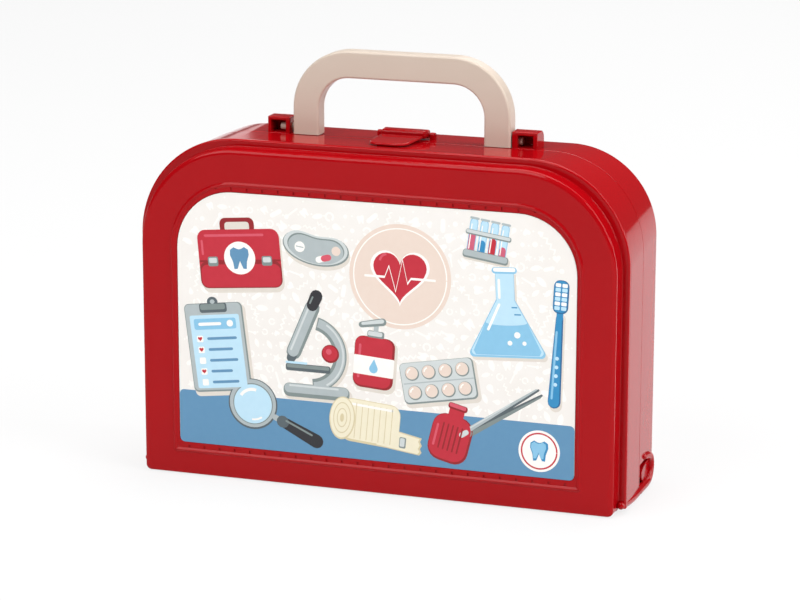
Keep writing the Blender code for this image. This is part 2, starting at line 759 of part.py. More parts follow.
def handle_sweep():
    """The U-shaped bar without its stub pins."""
    shape = bmesh.new()
    section = handle_section()
    loops = []
    for x, z, angle in handle_path():
        loops.append([shape.verts.new((x + out * math.cos(angle), y, z + out * math.sin(angle)))
                      for out, y in section])
    count = len(section)
    for first, second in zip(loops, loops[1:]):
        for i in range(count):
            j = (i + 1) % count
            shape.faces.new((first[i], first[j], second[j], second[i]))
    shape.faces.new(loops[0])
    shape.faces.new(loops[-1])
    return shape


def build_handle(material):
    """The swing handle, its feet rounded about the swing axis."""
    handle = add_object("handle", handle_sweep(), material, (0.0, PIVOT_Y, pivot_z()))
    pins = bmesh.new()
    profile = circle_profile(PIVOT_Y, pivot_z(), PIVOT_RADIUS)
    for side in (-1, 1):
        root = side * (HANDLE_WIDTH / 2 - LEG_WIDTH / 4)
        end = side * (HANDLE_WIDTH / 2 + PIVOT_REACH)
        add_prism(pins, profile, min(root, end), max(root, end))
    add_boolean(handle, add_object("handle_stub_pins", pins), "UNION")
    rounding = bmesh.new()
    arc = arc_profile(PIVOT_Y, pivot_z(), FOOT_RADIUS, -QUARTER_TURN, 0.0, 8)
    beyond = PIVOT_Y + FOOT_RADIUS + HANDLE_EDGE
    below = pivot_z() - FOOT_RADIUS - HANDLE_EDGE
    add_prism(rounding, arc + [(beyond, pivot_z()), (beyond, below), (PIVOT_Y, below)],
              -HANDLE_WIDTH / 2 - GAP, HANDLE_WIDTH / 2 + GAP)
    add_boolean(handle, add_object("handle_foot_rounding", rounding), "DIFFERENCE")
    return handle


# Latch

def latch_profile():
    """Side view of the hasp: roll over the pin, thin plate, hook at the nose."""
    z = latch_z()
    plate_bottom = LATCH_PLATE_TOP - LATCH_PLATE_THICKNESS
    hook_rear = LATCH_NOSE_Y + LATCH_PLATE_THICKNESS + LATCH_HOOK_LENGTH
    roll = arc_profile(LATCH_Y, z, LATCH_ROLL_RADIUS, math.radians(102.0), math.radians(-118.0), 18)
    brow = [(LATCH_ROLL_FRONT, LATCH_PLATE_TOP),
            (LATCH_ROLL_FRONT + LATCH_BROW_LENGTH / 4, LATCH_PLATE_TOP + LATCH_BROW_RISE / 2),
            (LATCH_ROLL_FRONT + LATCH_BROW_LENGTH, LATCH_PLATE_TOP + LATCH_BROW_RISE)]
    under = [(LATCH_Y - LATCH_ROLL_RADIUS, plate_bottom), (hook_rear, plate_bottom)]
    nose = [(LATCH_NOSE_Y, plate_bottom), (LATCH_NOSE_Y, LATCH_PLATE_TOP - GAP),
            (LATCH_NOSE_Y + GAP, LATCH_PLATE_TOP)]
    return brow + roll + under + nose


def latch_trim():
    """Plan outline of the hasp: it narrows to a nose with round corners."""
    shape = bmesh.new()
    far = LATCH_HALF_WIDTH + EAR_WIDTH
    points = [(LATCH_HALF_WIDTH, LATCH_ROLL_FRONT)]
    centre_x = LATCH_NOSE_HALF_WIDTH - LATCH_NOSE_CORNER
    centre_y = LATCH_NOSE_Y + LATCH_NOSE_CORNER
    for step in range(7):
        angle = -QUARTER_TURN * step / 6
        points.append((centre_x + LATCH_NOSE_CORNER * math.cos(angle),
                       centre_y + LATCH_NOSE_CORNER * math.sin(angle)))
    points += [(centre_x, LATCH_NOSE_Y - GAP), (far, LATCH_NOSE_Y - GAP), (far, LATCH_ROLL_FRONT)]
    low = LATCH_PLATE_TOP - LATCH_PLATE_THICKNESS - GAP
    high = LATCH_PLATE_TOP + GAP
    for side in (-1, 1):
        lower = [shape.verts.new((side * x, y, low)) for x, y in points]
        upper = [shape.verts.new((side * x, y, high)) for x, y in points]
        for i in range(len(points)):
            j = (i + 1) % len(points)
            shape.faces.new((lower[i], lower[j], upper[j], upper[i]))
        shape.faces.new(lower)
        shape.faces.new(upper)
    return shape


def build_latch(material):
    """The hasp latch, hinged on the back shell's ears."""
    body = bmesh.new()
    add_prism(body, latch_profile(), -LATCH_HALF_WIDTH, LATCH_HALF_WIDTH)
    latch = add_object("latch", body, material, (0.0, LATCH_Y, latch_z()))
    add_boolean(latch, add_object("latch_trim", latch_trim()), "DIFFERENCE")
    hook = bmesh.new()
    start = LATCH_NOSE_Y + LATCH_PLATE_THICKNESS
    bottom = wall_top(start) - LATCH_HOOK_DEPTH
    add_prism(hook, box_profile(start, start + LATCH_HOOK_LENGTH, bottom, LATCH_PLATE_TOP - GAP),
              -LATCH_HOOK_HALF_WIDTH, LATCH_HOOK_HALF_WIDTH)
    add_boolean(latch, add_object("latch_hook", hook), "UNION")
    bore = bmesh.new()
    add_prism(bore, circle_profile(LATCH_Y, latch_z(), LATCH_PIN_RADIUS + GAP),
              -LATCH_HALF_WIDTH - GAP, LATCH_HALF_WIDTH + GAP)
    add_boolean(latch, add_object("latch_bore", bore), "DIFFERENCE")
    return latch


def build_latch_pin(material):
    """The rod through the ears and the latch."""
    shape = bmesh.new()
    reach = LATCH_HALF_WIDTH + EAR_GAP + EAR_WIDTH
    add_prism(shape, circle_profile(LATCH_Y, latch_z(), LATCH_PIN_RADIUS, 16), -reach, reach)
    return add_object("latch_pin", shape, material, (0.0, LATCH_Y, latch_z()))


def main():
    """Build every piece."""
    clear_scene()
    red = make_material("glossy_red_plastic", (0.445, 0.014, 0.021), 0.16)
    beige = make_material("beige_plastic", (0.638, 0.491, 0.402), 0.32)
    card = make_material("printed_card", (0.871, 0.831, 0.776), 0.45)
    build_front_shell(red)
    build_label(card)
    build_back_shell(red)
    build_hinge_pin("hinge_pin_left", -1, red)
    build_hinge_pin("hinge_pin_right", 1, red)
    build_handle(beige)
    build_latch(red)
    build_latch_pin(red)


main()
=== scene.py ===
import json
import math
import random

import bmesh
import bpy
from mathutils import Matrix, Vector

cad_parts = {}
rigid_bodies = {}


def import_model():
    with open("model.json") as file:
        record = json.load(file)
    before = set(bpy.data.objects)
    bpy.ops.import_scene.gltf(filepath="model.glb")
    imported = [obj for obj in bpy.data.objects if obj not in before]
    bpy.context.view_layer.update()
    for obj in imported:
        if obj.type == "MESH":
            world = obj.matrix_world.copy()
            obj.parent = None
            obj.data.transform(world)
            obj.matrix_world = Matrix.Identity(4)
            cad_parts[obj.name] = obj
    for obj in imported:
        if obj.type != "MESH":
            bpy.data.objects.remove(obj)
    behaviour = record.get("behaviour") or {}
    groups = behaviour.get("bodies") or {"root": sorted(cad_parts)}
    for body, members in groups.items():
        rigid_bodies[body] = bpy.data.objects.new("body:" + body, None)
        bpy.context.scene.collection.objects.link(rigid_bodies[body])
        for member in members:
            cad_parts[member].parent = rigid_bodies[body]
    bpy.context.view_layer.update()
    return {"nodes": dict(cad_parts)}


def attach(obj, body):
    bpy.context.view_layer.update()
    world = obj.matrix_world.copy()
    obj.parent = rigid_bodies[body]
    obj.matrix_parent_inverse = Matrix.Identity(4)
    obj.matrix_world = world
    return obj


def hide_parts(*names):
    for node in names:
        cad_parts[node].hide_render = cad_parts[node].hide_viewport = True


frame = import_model()


# Front shell, the lid of the case. One injection moulding of red polypropylene: a raised face with a bead
# round the label's seat, a step down to the flange, and a drafted wall back to where the shells meet.

MEET_Y = 0.0048
GAP = 0.0003
WALL = 0.0022
FACE_Y = -0.0407
FLANGE_Y = -0.0295
FLANGE_BACK_Y = -0.0260
REAR_Y = 0.0415
CASE_HALF = 0.1452
CASE_TOP = 0.1974
CASE_CORNER = 0.0585
FACE_HALF = 0.1406
FACE_TOP = 0.1933
FACE_BOTTOM = 0.0006
FACE_CORNER = 0.0575
CORNER_STEPS = 30
FOOT_STEPS = 5
RING_SPACING = 0.020


def linear(value):
    """The linear colour of an sRGB hex value."""
    parts = [((value >> shift) & 255) / 255 for shift in (16, 8, 0)]
    return tuple(c / 12.92 if c <= 0.04045 else ((c + 0.055) / 1.055) ** 2.4 for c in parts) + (1.0,)


def add_node(tree, kind, settings=None, links=None):
    """A node with its settings, and links into it from other nodes' sockets."""
    node = tree.nodes.new(kind)
    for name, value in (settings or {}).items():
        if hasattr(node, name):
            setattr(node, name, value)
        else:
            node.inputs[name].default_value = value
    for name, socket in (links or {}).items():
        tree.links.new(socket, node.inputs[name])
    return node


def start_material(name, colour, roughness, ior, specular):
    """A material with its shader set, and the object coordinates that its patterns read."""
    material = bpy.data.materials.new(name)
    material.use_nodes = True
    tree = material.node_tree
    shader = tree.nodes["Principled BSDF"]
    shader.inputs["Base Color"].default_value = linear(colour)
    shader.inputs["Roughness"].default_value = roughness
    shader.inputs["IOR"].default_value = ior
    shader.inputs["Specular IOR Level"].default_value = specular
    coordinates = add_node(tree, "ShaderNodeTexCoord").outputs["Object"]
    return material, tree, shader, coordinates


def moulded_plastic(name, colour, shade, roughness, specular, wave):
    """Glossy moulded polypropylene. The pigment has faint flow clouds about 30 mm across, the skin is wavy
    by a few microns over 25 mm where the wall shrank, and the gloss varies a little over 8 mm."""
    material, tree, shader, coordinates = start_material(name, colour, roughness, 1.49, specular)
    clouds = add_node(tree, "ShaderNodeTexNoise", {"Scale": 33.0, "Detail": 2.0}, {"Vector": coordinates})
    tint = add_node(tree, "ShaderNodeMix", {"data_type": "RGBA"}, {"Factor": clouds.outputs["Fac"]})
    tint.inputs[6].default_value = linear(colour)
    tint.inputs[7].default_value = linear(shade)
    tree.links.new(tint.outputs[2], shader.inputs["Base Color"])
    wipes = add_node(tree, "ShaderNodeTexNoise", {"Scale": 125.0, "Detail": 1.0}, {"Vector": coordinates})
    gloss = add_node(tree, "ShaderNodeMapRange", {"To Min": roughness * 0.85, "To Max": roughness * 1.15},
                     {"Value": wipes.outputs["Fac"]})
    tree.links.new(gloss.outputs["Result"], shader.inputs["Roughness"])
    waves = add_node(tree, "ShaderNodeTexNoise", {"Scale": 40.0, "Detail": 1.0}, {"Vector": coordinates})
    bump = add_node(tree, "ShaderNodeBump", {"Strength": 1.0, "Distance": wave},
                    {"Height": waves.outputs["Fac"]})
    tree.links.new(bump.outputs["Normal"], shader.inputs["Normal"])
    return material


red_plastic = moulded_plastic("red_polypropylene_gloss", 0xA8060F, 0xA1050D, 0.09, 0.17, 0.00003)


def start_piece(name):
    """A new empty mesh, open in edit mode."""
    if bpy.context.object and bpy.context.object.mode == "EDIT":
        bpy.ops.object.mode_set(mode="OBJECT")
    bpy.ops.object.select_all(action="DESELECT")
    bpy.ops.object.add(type="MESH")
    bpy.context.object.name = name
    bpy.context.object.data.name = name
    bpy.ops.object.mode_set(mode="EDIT")
    return bpy.context.object


def pick(test, among_selected=False):
    """Select the vertices that pass a test, and what lies wholly between them."""
    mesh = bmesh.from_edit_mesh(bpy.context.object.data)
    kept = [v for v in mesh.verts if (v.select or not among_selected) and test(v.co)]
    bpy.ops.mesh.select_all(action="DESELECT")
    for vertex in kept:
        vertex.select = True
    mesh.select_flush(True)
    bmesh.update_edit_mesh(bpy.context.object.data)


def add_ring(y, outline):
    """One outline of the case at a depth: a plane's edge, with its corners bevelled round."""
    half, bottom, top, corner, foot = outline
    middle = (0, y, (bottom + top) / 2)
    bpy.ops.mesh.select_all(action="DESELECT")
    bpy.ops.mesh.primitive_plane_add(size=1, location=middle, rotation=(math.pi / 2, 0, 0))
    bpy.ops.transform.resize(value=(2 * half, 1, top - bottom), center_override=middle)
    pick(lambda co: co.z > middle[2], True)
    bpy.ops.mesh.bevel(offset=corner, offset_type="ABSOLUTE", segments=CORNER_STEPS, affect="VERTICES")
    bpy.ops.mesh.select_linked()
    pick(lambda co: co.z < bottom + 0.0001, True)
    bpy.ops.mesh.bevel(offset=foot, offset_type="ABSOLUTE", segments=FOOT_STEPS, affect="VERTICES")
    bpy.ops.mesh.select_linked()
    bpy.ops.object.vertex_group_add()
    bpy.ops.object.vertex_group_assign()
    bpy.ops.mesh.delete(type="ONLY_FACE")


def pick_rings(*rings):
    """Select whole rings by their number."""
    bpy.ops.mesh.select_all(action="DESELECT")
    for ring in rings:
        bpy.context.object.vertex_groups.active_index = ring
        bpy.ops.object.vertex_group_select()


def skin_rings(rings, rounds):
    """Bridge the rings in order, close both ends, and round the rings that are given a radius. The rings
    stand RING_SPACING apart while they are bridged, since rings in one plane would be joined crosswise."""
    for number, (_, outline) in enumerate(rings):
        add_ring(number * RING_SPACING, outline)
    for ring in range(len(rings) - 1):
        pick_rings(ring, ring + 1)
        bpy.ops.mesh.bridge_edge_loops()
    for ring, (y, _) in enumerate(rings):
        pick_rings(ring)
        bpy.ops.transform.translate(value=(0, y - ring * RING_SPACING, 0))
    for ring in (0, len(rings) - 1):
        pick_rings(ring)
        bpy.ops.mesh.edge_face_add()
    for ring, radius, steps in rounds:
        pick_rings(ring)
        bpy.ops.mesh.bevel(offset=radius, segments=steps, affect="EDGES")
    bpy.ops.mesh.select_all(action="SELECT")
    bpy.ops.mesh.normals_make_consistent(inside=False)
    if bmesh.from_edit_mesh(bpy.context.object.data).calc_volume(signed=True) < 0:
        bpy.ops.mesh.flip_normals()
    bpy.ops.object.mode_set(mode="OBJECT")
    while bpy.context.object.vertex_groups:
        bpy.ops.object.vertex_group_remove(all=True)


def finish_piece(piece, material, body, angle=32.0):
    """Shade a piece smooth but for its edges, give it its finish, and let it ride on its body."""
    if piece.mode == "EDIT":
        bpy.ops.object.mode_set(mode="OBJECT")
    bpy.ops.object.select_all(action="DESELECT")
    bpy.context.view_layer.objects.active = piece
    piece.select_set(True)
    bpy.ops.object.mode_set(mode="EDIT")
    if bmesh.from_edit_mesh(piece.data).calc_volume(signed=True) < 0:
        bpy.ops.mesh.select_all(action="SELECT")
        bpy.ops.mesh.flip_normals()
    bpy.ops.object.mode_set(mode="OBJECT")
    bpy.ops.object.shade_smooth_by_angle(angle=math.radians(angle))
    bpy.ops.object.modifier_add(type="WEIGHTED_NORMAL")
    piece.modifiers[-1].keep_sharp = True
    bpy.ops.object.modifier_apply(modifier=piece.modifiers[-1].name)
    piece.data.materials.clear()
    piece.data.materials.append(material)
    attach(piece, body)
    return piece


def join_or_cut(piece, tool, operation):
    """Close a tool that is open in edit mode, apply a boolean with it, and remove it."""
    bpy.ops.object.mode_set(mode="OBJECT")
    bpy.ops.object.select_all(action="DESELECT")
    bpy.context.view_layer.objects.active = piece
    piece.select_set(True)
    bpy.ops.object.modifier_add(type="BOOLEAN")
    modifier = piece.modifiers[-1]
    modifier.operation = operation
    modifier.solver = "EXACT"
    modifier.object = tool
    bpy.ops.object.modifier_apply(modifier=modifier.name)
    bpy.data.objects.remove(tool)


def add_block(low, high, bevel=0.0, steps=2):
    """A box between two opposite corners in the open piece, its edges bevelled."""
    low, high = zip(*(sorted(pair) for pair in zip(low, high)))
    middle = [(a + b) / 2 for a, b in zip(low, high)]
    bpy.ops.mesh.select_all(action="DESELECT")
    bpy.ops.mesh.primitive_cube_add(size=1, location=middle)
    bpy.ops.transform.resize(value=[b - a for a, b in zip(low, high)], center_override=middle)
    if bevel:
        bpy.ops.mesh.bevel(offset=bevel, segments=steps, affect="EDGES")


def join_or_cut_block(piece, operation, low, high):
    """Join a box to a piece, or cut it out."""
    tool = start_piece("block_tool")
    add_block(low, high)
    join_or_cut(piece, tool, operation)


def add_rod(x_start, x_end, y, z, radius, steps=24, bevel=0.0):
    """A rod along X in the open piece."""
    bpy.ops.mesh.select_all(action="DESELECT")
    bpy.ops.mesh.primitive_cylinder_add(vertices=steps, radius=radius, depth=abs(x_end - x_start),
                                        location=((x_start + x_end) / 2, y, z), rotation=(0, math.pi / 2, 0))
    if bevel:
        end = abs(x_end - x_start) / 2
        centre = (x_start + x_end) / 2
        for side in (-1, 1):
            pick(lambda co: abs(co.x - centre - side * end) < 1e-5
                 and math.hypot(co.y - y, co.z - z) < radius * 1.02)
            bpy.ops.mesh.bevel(offset=bevel, segments=2, affect="EDGES")


def face_outline(inset, foot_share=1.0):
    """The raised face's outline, drawn in, by less along the foot where a share is given."""
    return (FACE_HALF - inset, FACE_BOTTOM + inset * foot_share, FACE_TOP - inset, FACE_CORNER - inset, 0.003)


def flange_outline(inset):
    """The flange's outline, drawn in."""
    return (CASE_HALF - inset, inset / 2, CASE_TOP - inset, CASE_CORNER - inset, 0.0036)


def wall_outline(y, inset):
    """The drafted wall's outline at a depth, drawn in."""
    depth = y - MEET_Y
    if depth < 0:
        share = (y - FLANGE_Y) / (MEET_Y - FLANGE_Y)
        draft, corner = 0.0003 + 0.0013 * share, CASE_CORNER - 0.0045 * share
    else:
        share = depth / (REAR_Y - MEET_Y)
        draft, corner = 0.0016 + 0.0016 * share, 0.0540 - 0.0040 * share
    draft += inset
    return (CASE_HALF - draft, 0.0020 + inset, CASE_TOP - draft, corner - inset, 0.0008)


def bead_outline(offset):
    """The bead's outline round the label's seat, moved outwards."""
    return (FACE_HALF - 0.0195 + offset, FACE_BOTTOM + 0.0143 - offset, FACE_TOP - 0.0198 + offset,
            0.038 + offset, 0.0006 + max(offset, -0.0003))


def label_outline(offset):
    """The label's outline, moved outwards."""
    return (FACE_HALF - 0.0223 + offset, FACE_BOTTOM + 0.0193 - offset, FACE_TOP - 0.0244 + offset,
            0.034 + offset, 0.003 + offset)


BEAD_HALF = 0.0013
BEAD_RISE = 0.0008
LIP_INSET = 0.0010
LIP_Y = MEET_Y - 0.0029

# The face falls away gently over its last 3 mm, then turns a tight corner into the step.
PILLOW_WIDTH = 0.0030
PILLOW_DROP = 0.0006
CORNER_INSET = 0.0007
FOOT_SHARE = 0.25
CORNER_ROUND = 0.0013
corner_start = math.atan(2 * PILLOW_DROP / (PILLOW_WIDTH - CORNER_INSET))
shoulder = []
for share in (0, 0.25, 0.5, 0.75, 1):
    shoulder.append((FACE_Y + PILLOW_DROP * share ** 2,
                     face_outline(PILLOW_WIDTH - share * (PILLOW_WIDTH - CORNER_INSET), FOOT_SHARE)))
for turn in (math.radians(slope) for slope in (40, 53, 66, 78, 89)):
    shoulder.append((FACE_Y + PILLOW_DROP + CORNER_ROUND * (math.cos(corner_start) - math.cos(turn)),
                     face_outline(CORNER_ROUND * (1 - math.sin(turn)), FOOT_SHARE)))

# The step ends in a small fillet on the flange, and the flange's front edge is rounded.
STEP_FILLET = 0.0007
EDGE_ROUND = 0.0011
step_foot = []
flange_edge = []
for turn in (math.radians(18 * number) for number in range(6)):
    step_foot.append((FLANGE_Y - STEP_FILLET * (1 - math.sin(turn)),
                      face_outline(-STEP_FILLET * (1 - math.cos(turn)), 0)))
    flange_edge.append((FLANGE_Y + EDGE_ROUND * (1 - math.cos(turn)),
                        flange_outline(EDGE_ROUND * (1 - math.sin(turn)))))

front_shell = start_piece("front_shell_moulding")
front_rings = [
    (FACE_Y + 0.0009, label_outline(GAP)),
    (FACE_Y, label_outline(GAP)),
    (FACE_Y, bead_outline(-BEAD_HALF)),
    (FACE_Y - BEAD_RISE, bead_outline(-BEAD_HALF / 4)),
    (FACE_Y - BEAD_RISE, bead_outline(BEAD_HALF / 4)),
    (FACE_Y, bead_outline(BEAD_HALF)),
    *shoulder,
    *step_foot,
    *flange_edge,
    (FLANGE_BACK_Y, flange_outline(0)),
    (FLANGE_BACK_Y, wall_outline(FLANGE_BACK_Y, 0)),
    (MEET_Y - GAP / 2, wall_outline(MEET_Y, 0)),
    (MEET_Y - GAP / 2, wall_outline(MEET_Y, LIP_INSET)),
    (LIP_Y, wall_outline(LIP_Y, LIP_INSET)),
    (LIP_Y, wall_outline(LIP_Y, WALL)),
    (FLANGE_Y + WALL, wall_outline(FLANGE_Y + WALL, WALL)),
    (FLANGE_Y + WALL, face_outline(WALL, 1.75)),
    (FACE_Y + 0.0042, face_outline(WALL, 1.75)),
    (FACE_Y + 0.0030, face_outline(0.0042)),
]
seat_rim, bead_inside, bead_outside = 1, 3, 4
flange_back = bead_outside + 2 + len(shoulder) + len(step_foot) + len(flange_edge)
meeting_edge = flange_back + 2
skin_rings(front_rings, [(seat_rim, 0.00025, 2), (bead_inside, 0.00028, 2), (bead_outside, 0.00028, 2),
                         (flange_back, 0.0002, 2), (meeting_edge, 0.0003, 2)])

# At both lower corners the flange ends above the floor, over the rounded bar that the case stands on.
CLEAR_OF_SIDE = 0.1470
for side in (-1, 1):
    for reach, start_y in ((0.1407, FLANGE_Y - 0.0010), (0.1350, FLANGE_Y - 0.0001)):
        join_or_cut_block(front_shell, "DIFFERENCE", (side * reach, start_y, -0.0010),
                          (side * CLEAR_OF_SIDE, FLANGE_BACK_Y + 0.0002, 0.0030))

# The ledge round the label has small notches, pressed in by the ejector teeth of the mould.
NOTCH_PITCH = 0.0094
notches = start_piece("notch_cutters")
for count, first, middle_z in ((21, -0.0940, 0.1710), (25, -0.1125, 0.0172)):
    for number in range(count):
        x = first + NOTCH_PITCH * number
        add_block((x - 0.0006, FACE_Y - 0.0002, middle_z - 0.0009),
                  (x + 0.0006, FACE_Y + 0.0006, middle_z + 0.0009))
join_or_cut(front_shell, notches, "DIFFERENCE")

HINGE_Z = 0.0025
CHANNEL_HALF = 0.1320
CHANNEL_DEPTH = 0.0070
PAD_HALF = 0.1342
WEDGE_ANGLE = 59


def cut_hinge_wedges(shell, side_y):
    """Cut the wedges under the hinge line that let the shells swing apart."""
    reach = HINGE_Z * math.tan(math.radians(WEDGE_ANGLE))
    for side_x in (-1, 1):
        tool = start_piece("wedge_cutter")
        add_block((side_x * (CHANNEL_HALF - GAP), MEET_Y - side_y * GAP, -HINGE_Z),
                  (side_x * (CASE_HALF + GAP), MEET_Y + side_y * CHANNEL_DEPTH, HINGE_Z + GAP))
        pick(lambda co: abs(co.y - MEET_Y) > 0.002 and co.z > 0)
        bpy.ops.transform.translate(value=(0, -side_y * CHANNEL_DEPTH, 0))
        pick(lambda co: abs(co.y - MEET_Y) > 0.002 and co.z < 0)
        bpy.ops.transform.translate(value=(0, side_y * (2 * reach - CHANNEL_DEPTH), 0))
        join_or_cut(shell, tool, "DIFFERENCE")


def cut_hinge_channel(shell, side_y):
    """Cut the channel that the hinge knuckles lie in."""
    join_or_cut_block(shell, "DIFFERENCE", (-CHANNEL_HALF, MEET_Y - side_y * GAP, -0.003),
                      (CHANNEL_HALF, MEET_Y + side_y * CHANNEL_DEPTH, 0.0052))


def add_channel_pad(shell, side_y):
    """Thicken the shell behind the channel."""
    join_or_cut_block(shell, "UNION", (-PAD_HALF, MEET_Y + side_y * GAP / 2, 0.0031),
                      (PAD_HALF, MEET_Y + side_y * 0.0092, 0.0074))


add_channel_pad(front_shell, -1)
cut_hinge_channel(front_shell, -1)
cut_hinge_wedges(front_shell, -1)
finish_piece(front_shell, red_plastic, "lid")
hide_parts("front_shell")


# Floor rims of the lid, and the middle knuckles of its two hinges. They are moulded in one with the shell:
# rounded bars that carry the case on the floor, and short tubes that the hinge rods pass through.

BAR_RADIUS = 0.0026
BAR_X = CASE_HALF - BAR_RADIUS
KNUCKLE_RADIUS = 0.0023


def add_side_bars(name, path):
    """A round bar on each side of the case, along a path of depth, height and share of the full radius."""
    bars = []
    for side in (-1, 1):
        bpy.ops.object.select_all(action="DESELECT")
        bpy.ops.object.add(type="CURVE")
        bar_curve = bpy.context.object
        bar_curve.data.dimensions = "3D"
        bar_curve.data.bevel_depth = BAR_RADIUS
        bar_curve.data.bevel_resolution = 5
        bar_curve.data.resolution_u = 4
        bar_curve.data.use_fill_caps = True
        spline = bar_curve.data.splines.new("BEZIER")
        spline.bezier_points.add(len(path) - 1)
        for point, (y, z, share) in zip(spline.bezier_points, path):
            point.co = (side * BAR_X, y, z)
            point.radius = share
            point.handle_left_type = point.handle_right_type = "AUTO"
        bpy.ops.object.convert(target="MESH")
        bars.append(bpy.context.object)
    bars[0].select_set(True)
    bpy.ops.object.join()
    piece = bpy.context.object
    piece.name = piece.data.name = name
    bpy.ops.object.mode_set(mode="EDIT")
    bpy.ops.mesh.select_all(action="SELECT")
    bpy.ops.mesh.remove_doubles(threshold=0.000005)
    bpy.ops.mesh.normals_make_consistent(inside=False)
    bpy.ops.object.mode_set(mode="OBJECT")
    return piece


front_rims = add_side_bars("front_shell_rims", [
    (-0.0325, 0.0054, 0.30), (-0.0321, 0.0053, 0.66), (-0.0306, 0.0050, 0.86), (-0.0240, 0.0042, 0.96),
    (-0.0160, 0.0033, 1.0), (-0.0080, 0.0027, 1.0), (-0.0030, 0.0026, 1.0), (MEET_Y - GAP / 2, 0.0026, 1.0)])
cut_hinge_wedges(front_rims, -1)
finish_piece(front_rims, red_plastic, "lid", 45)


def add_knuckle(x_start, x_end, side_y):
    """A knuckle and the web that joins it to its shell's bottom wall."""
    add_rod(x_start, x_end, MEET_Y, HINGE_Z, KNUCKLE_RADIUS, 24, 0.0003)
    add_block((x_start, MEET_Y + side_y * GAP, HINGE_Z), (x_end, MEET_Y + side_y * KNUCKLE_RADIUS, 0.0063))


front_knuckles = start_piece("front_shell_knuckles")
for side in (-1, 1):
    add_knuckle(side * 0.085 - 0.00485, side * 0.085 + 0.00485, -1)
finish_piece(front_knuckles, red_plastic, "lid")


# Back shell, the body of the case. Red polypropylene as the lid, with a flat rear panel and, along its edge,
# a thin tongue that the lid's lip closes over.

REAR_ROUND = 0.0030
TONGUE_INSET = 0.0013
TONGUE_Y = MEET_Y - 0.0026

back_shell = start_piece("back_shell_moulding")
back_rings = []
for step in range(8):
    turn = math.radians(90 * step / 7)
    y = REAR_Y - REAR_ROUND * (1 - math.cos(turn))
    back_rings.append((y, wall_outline(y, REAR_ROUND * (1 - math.sin(turn)))))
back_rings += [
    (MEET_Y + GAP / 2, wall_outline(MEET_Y, 0)),
    (MEET_Y + GAP / 2, wall_outline(MEET_Y, TONGUE_INSET)),
    (TONGUE_Y, wall_outline(MEET_Y, TONGUE_INSET)),
    (TONGUE_Y, wall_outline(MEET_Y, WALL)),
    (REAR_Y - 0.0041, wall_outline(REAR_Y, WALL)),
    (REAR_Y - WALL, wall_outline(REAR_Y, WALL + 0.0015)),
]
joint_edge, tongue_edge = 8, 10
skin_rings(back_rings, [(joint_edge, 0.0003, 2), (tongue_edge, 0.0002, 1)])
join_or_cut_block(back_shell, "DIFFERENCE", (-CASE_HALF, MEET_Y - 0.0035, -0.001),
                  (CASE_HALF, MEET_Y + GAP / 2, 0.0120))
add_channel_pad(back_shell, 1)
cut_hinge_channel(back_shell, 1)
cut_hinge_wedges(back_shell, 1)

# Near each lower rear corner the side wall steps in to a shallow pocket, thickened behind.
POCKET_FLOOR = 0.1398
for side in (-1, 1):
    join_or_cut_block(back_shell, "UNION", (side * (POCKET_FLOOR - WALL), MEET_Y + GAP / 2, 0.0036),
                      (side * 0.1413, MEET_Y + 0.0305, 0.0197))
    join_or_cut_block(back_shell, "DIFFERENCE", (side * POCKET_FLOOR, MEET_Y + 0.0014, 0.0040),
                      (side * CLEAR_OF_SIDE, MEET_Y + 0.0290, 0.0180))
finish_piece(back_shell, red_plastic, "back_case")
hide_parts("back_shell")


# Foot frames of the body. On each side one rounded bar runs back along the floor, turns up behind the pocket
# and returns forwards over it. In the pocket stands a round-nosed boss. All is one moulding with the shell.

back_bars = add_side_bars("back_shell_foot_bars", [
    (MEET_Y + GAP / 2, 0.0026, 1.0), (0.0150, 0.0026, 1.0), (0.0225, 0.0027, 1.0), (0.0272, 0.0034, 1.0),
    (0.0306, 0.0055, 1.0), (0.0325, 0.0088, 1.0), (0.0330, 0.0118, 1.0), (0.0326, 0.0142, 1.0),
    (0.0310, 0.0164, 1.0), (0.0280, 0.0178, 0.92), (0.0230, 0.0190, 0.84), (0.0180, 0.0199, 0.76),
    (0.0168, 0.0201, 0.60), (0.0162, 0.0202, 0.30)])
cut_hinge_wedges(back_bars, 1)
finish_piece(back_bars, red_plastic, "back_case", 45)

NOSE_MIDDLE = 0.0312
NOSE_DEPTH = 0.0034
noses = start_piece("back_shell_foot_noses")
for side in (-1, 1):
    centre = (side * (POCKET_FLOOR + 0.0012), NOSE_MIDDLE, 0.0092)
    bpy.ops.mesh.select_all(action="DESELECT")
    bpy.ops.mesh.primitive_cylinder_add(vertices=56, radius=1.0, depth=NOSE_DEPTH, location=centre,
                                        rotation=(0, math.pi / 2, 0))
    bpy.ops.transform.resize(value=(1, 0.0170, 0.0062), center_override=centre)
    pick(lambda co: co.y > NOSE_MIDDLE and side * co.x > 0)
    bpy.ops.transform.resize(value=(1, 0.10, 1), center_override=centre)
    pick(lambda co: abs(co.x - centre[0] - side * NOSE_DEPTH / 2) < 1e-5)
    bpy.ops.mesh.bevel(offset=0.0006, segments=3, affect="EDGES")
bpy.ops.mesh.select_all(action="SELECT")
bpy.ops.mesh.normals_make_consistent(inside=False)
finish_piece(noses, red_plastic, "back_case")

back_knuckles = start_piece("back_shell_knuckles")
for side in (-1, 1):
    for x_start, x_end in ((0.0700, 0.07985), (0.09015, 0.1000)):
        add_knuckle(side * x_start, side * x_end, 1)
finish_piece(back_knuckles, red_plastic, "back_case")


# Handle lugs. Two hollow boxes moulded on the body's top wall, open to the front so that the mould can draw,
# with a round bore in the inner wall for the handle's stub pin.

LUG_BASE = 0.1950
LUG_TOP = 0.2052
WINDOW_TOP = 0.2031
PIVOT_Y, PIVOT_Z = 0.0112, 0.19902

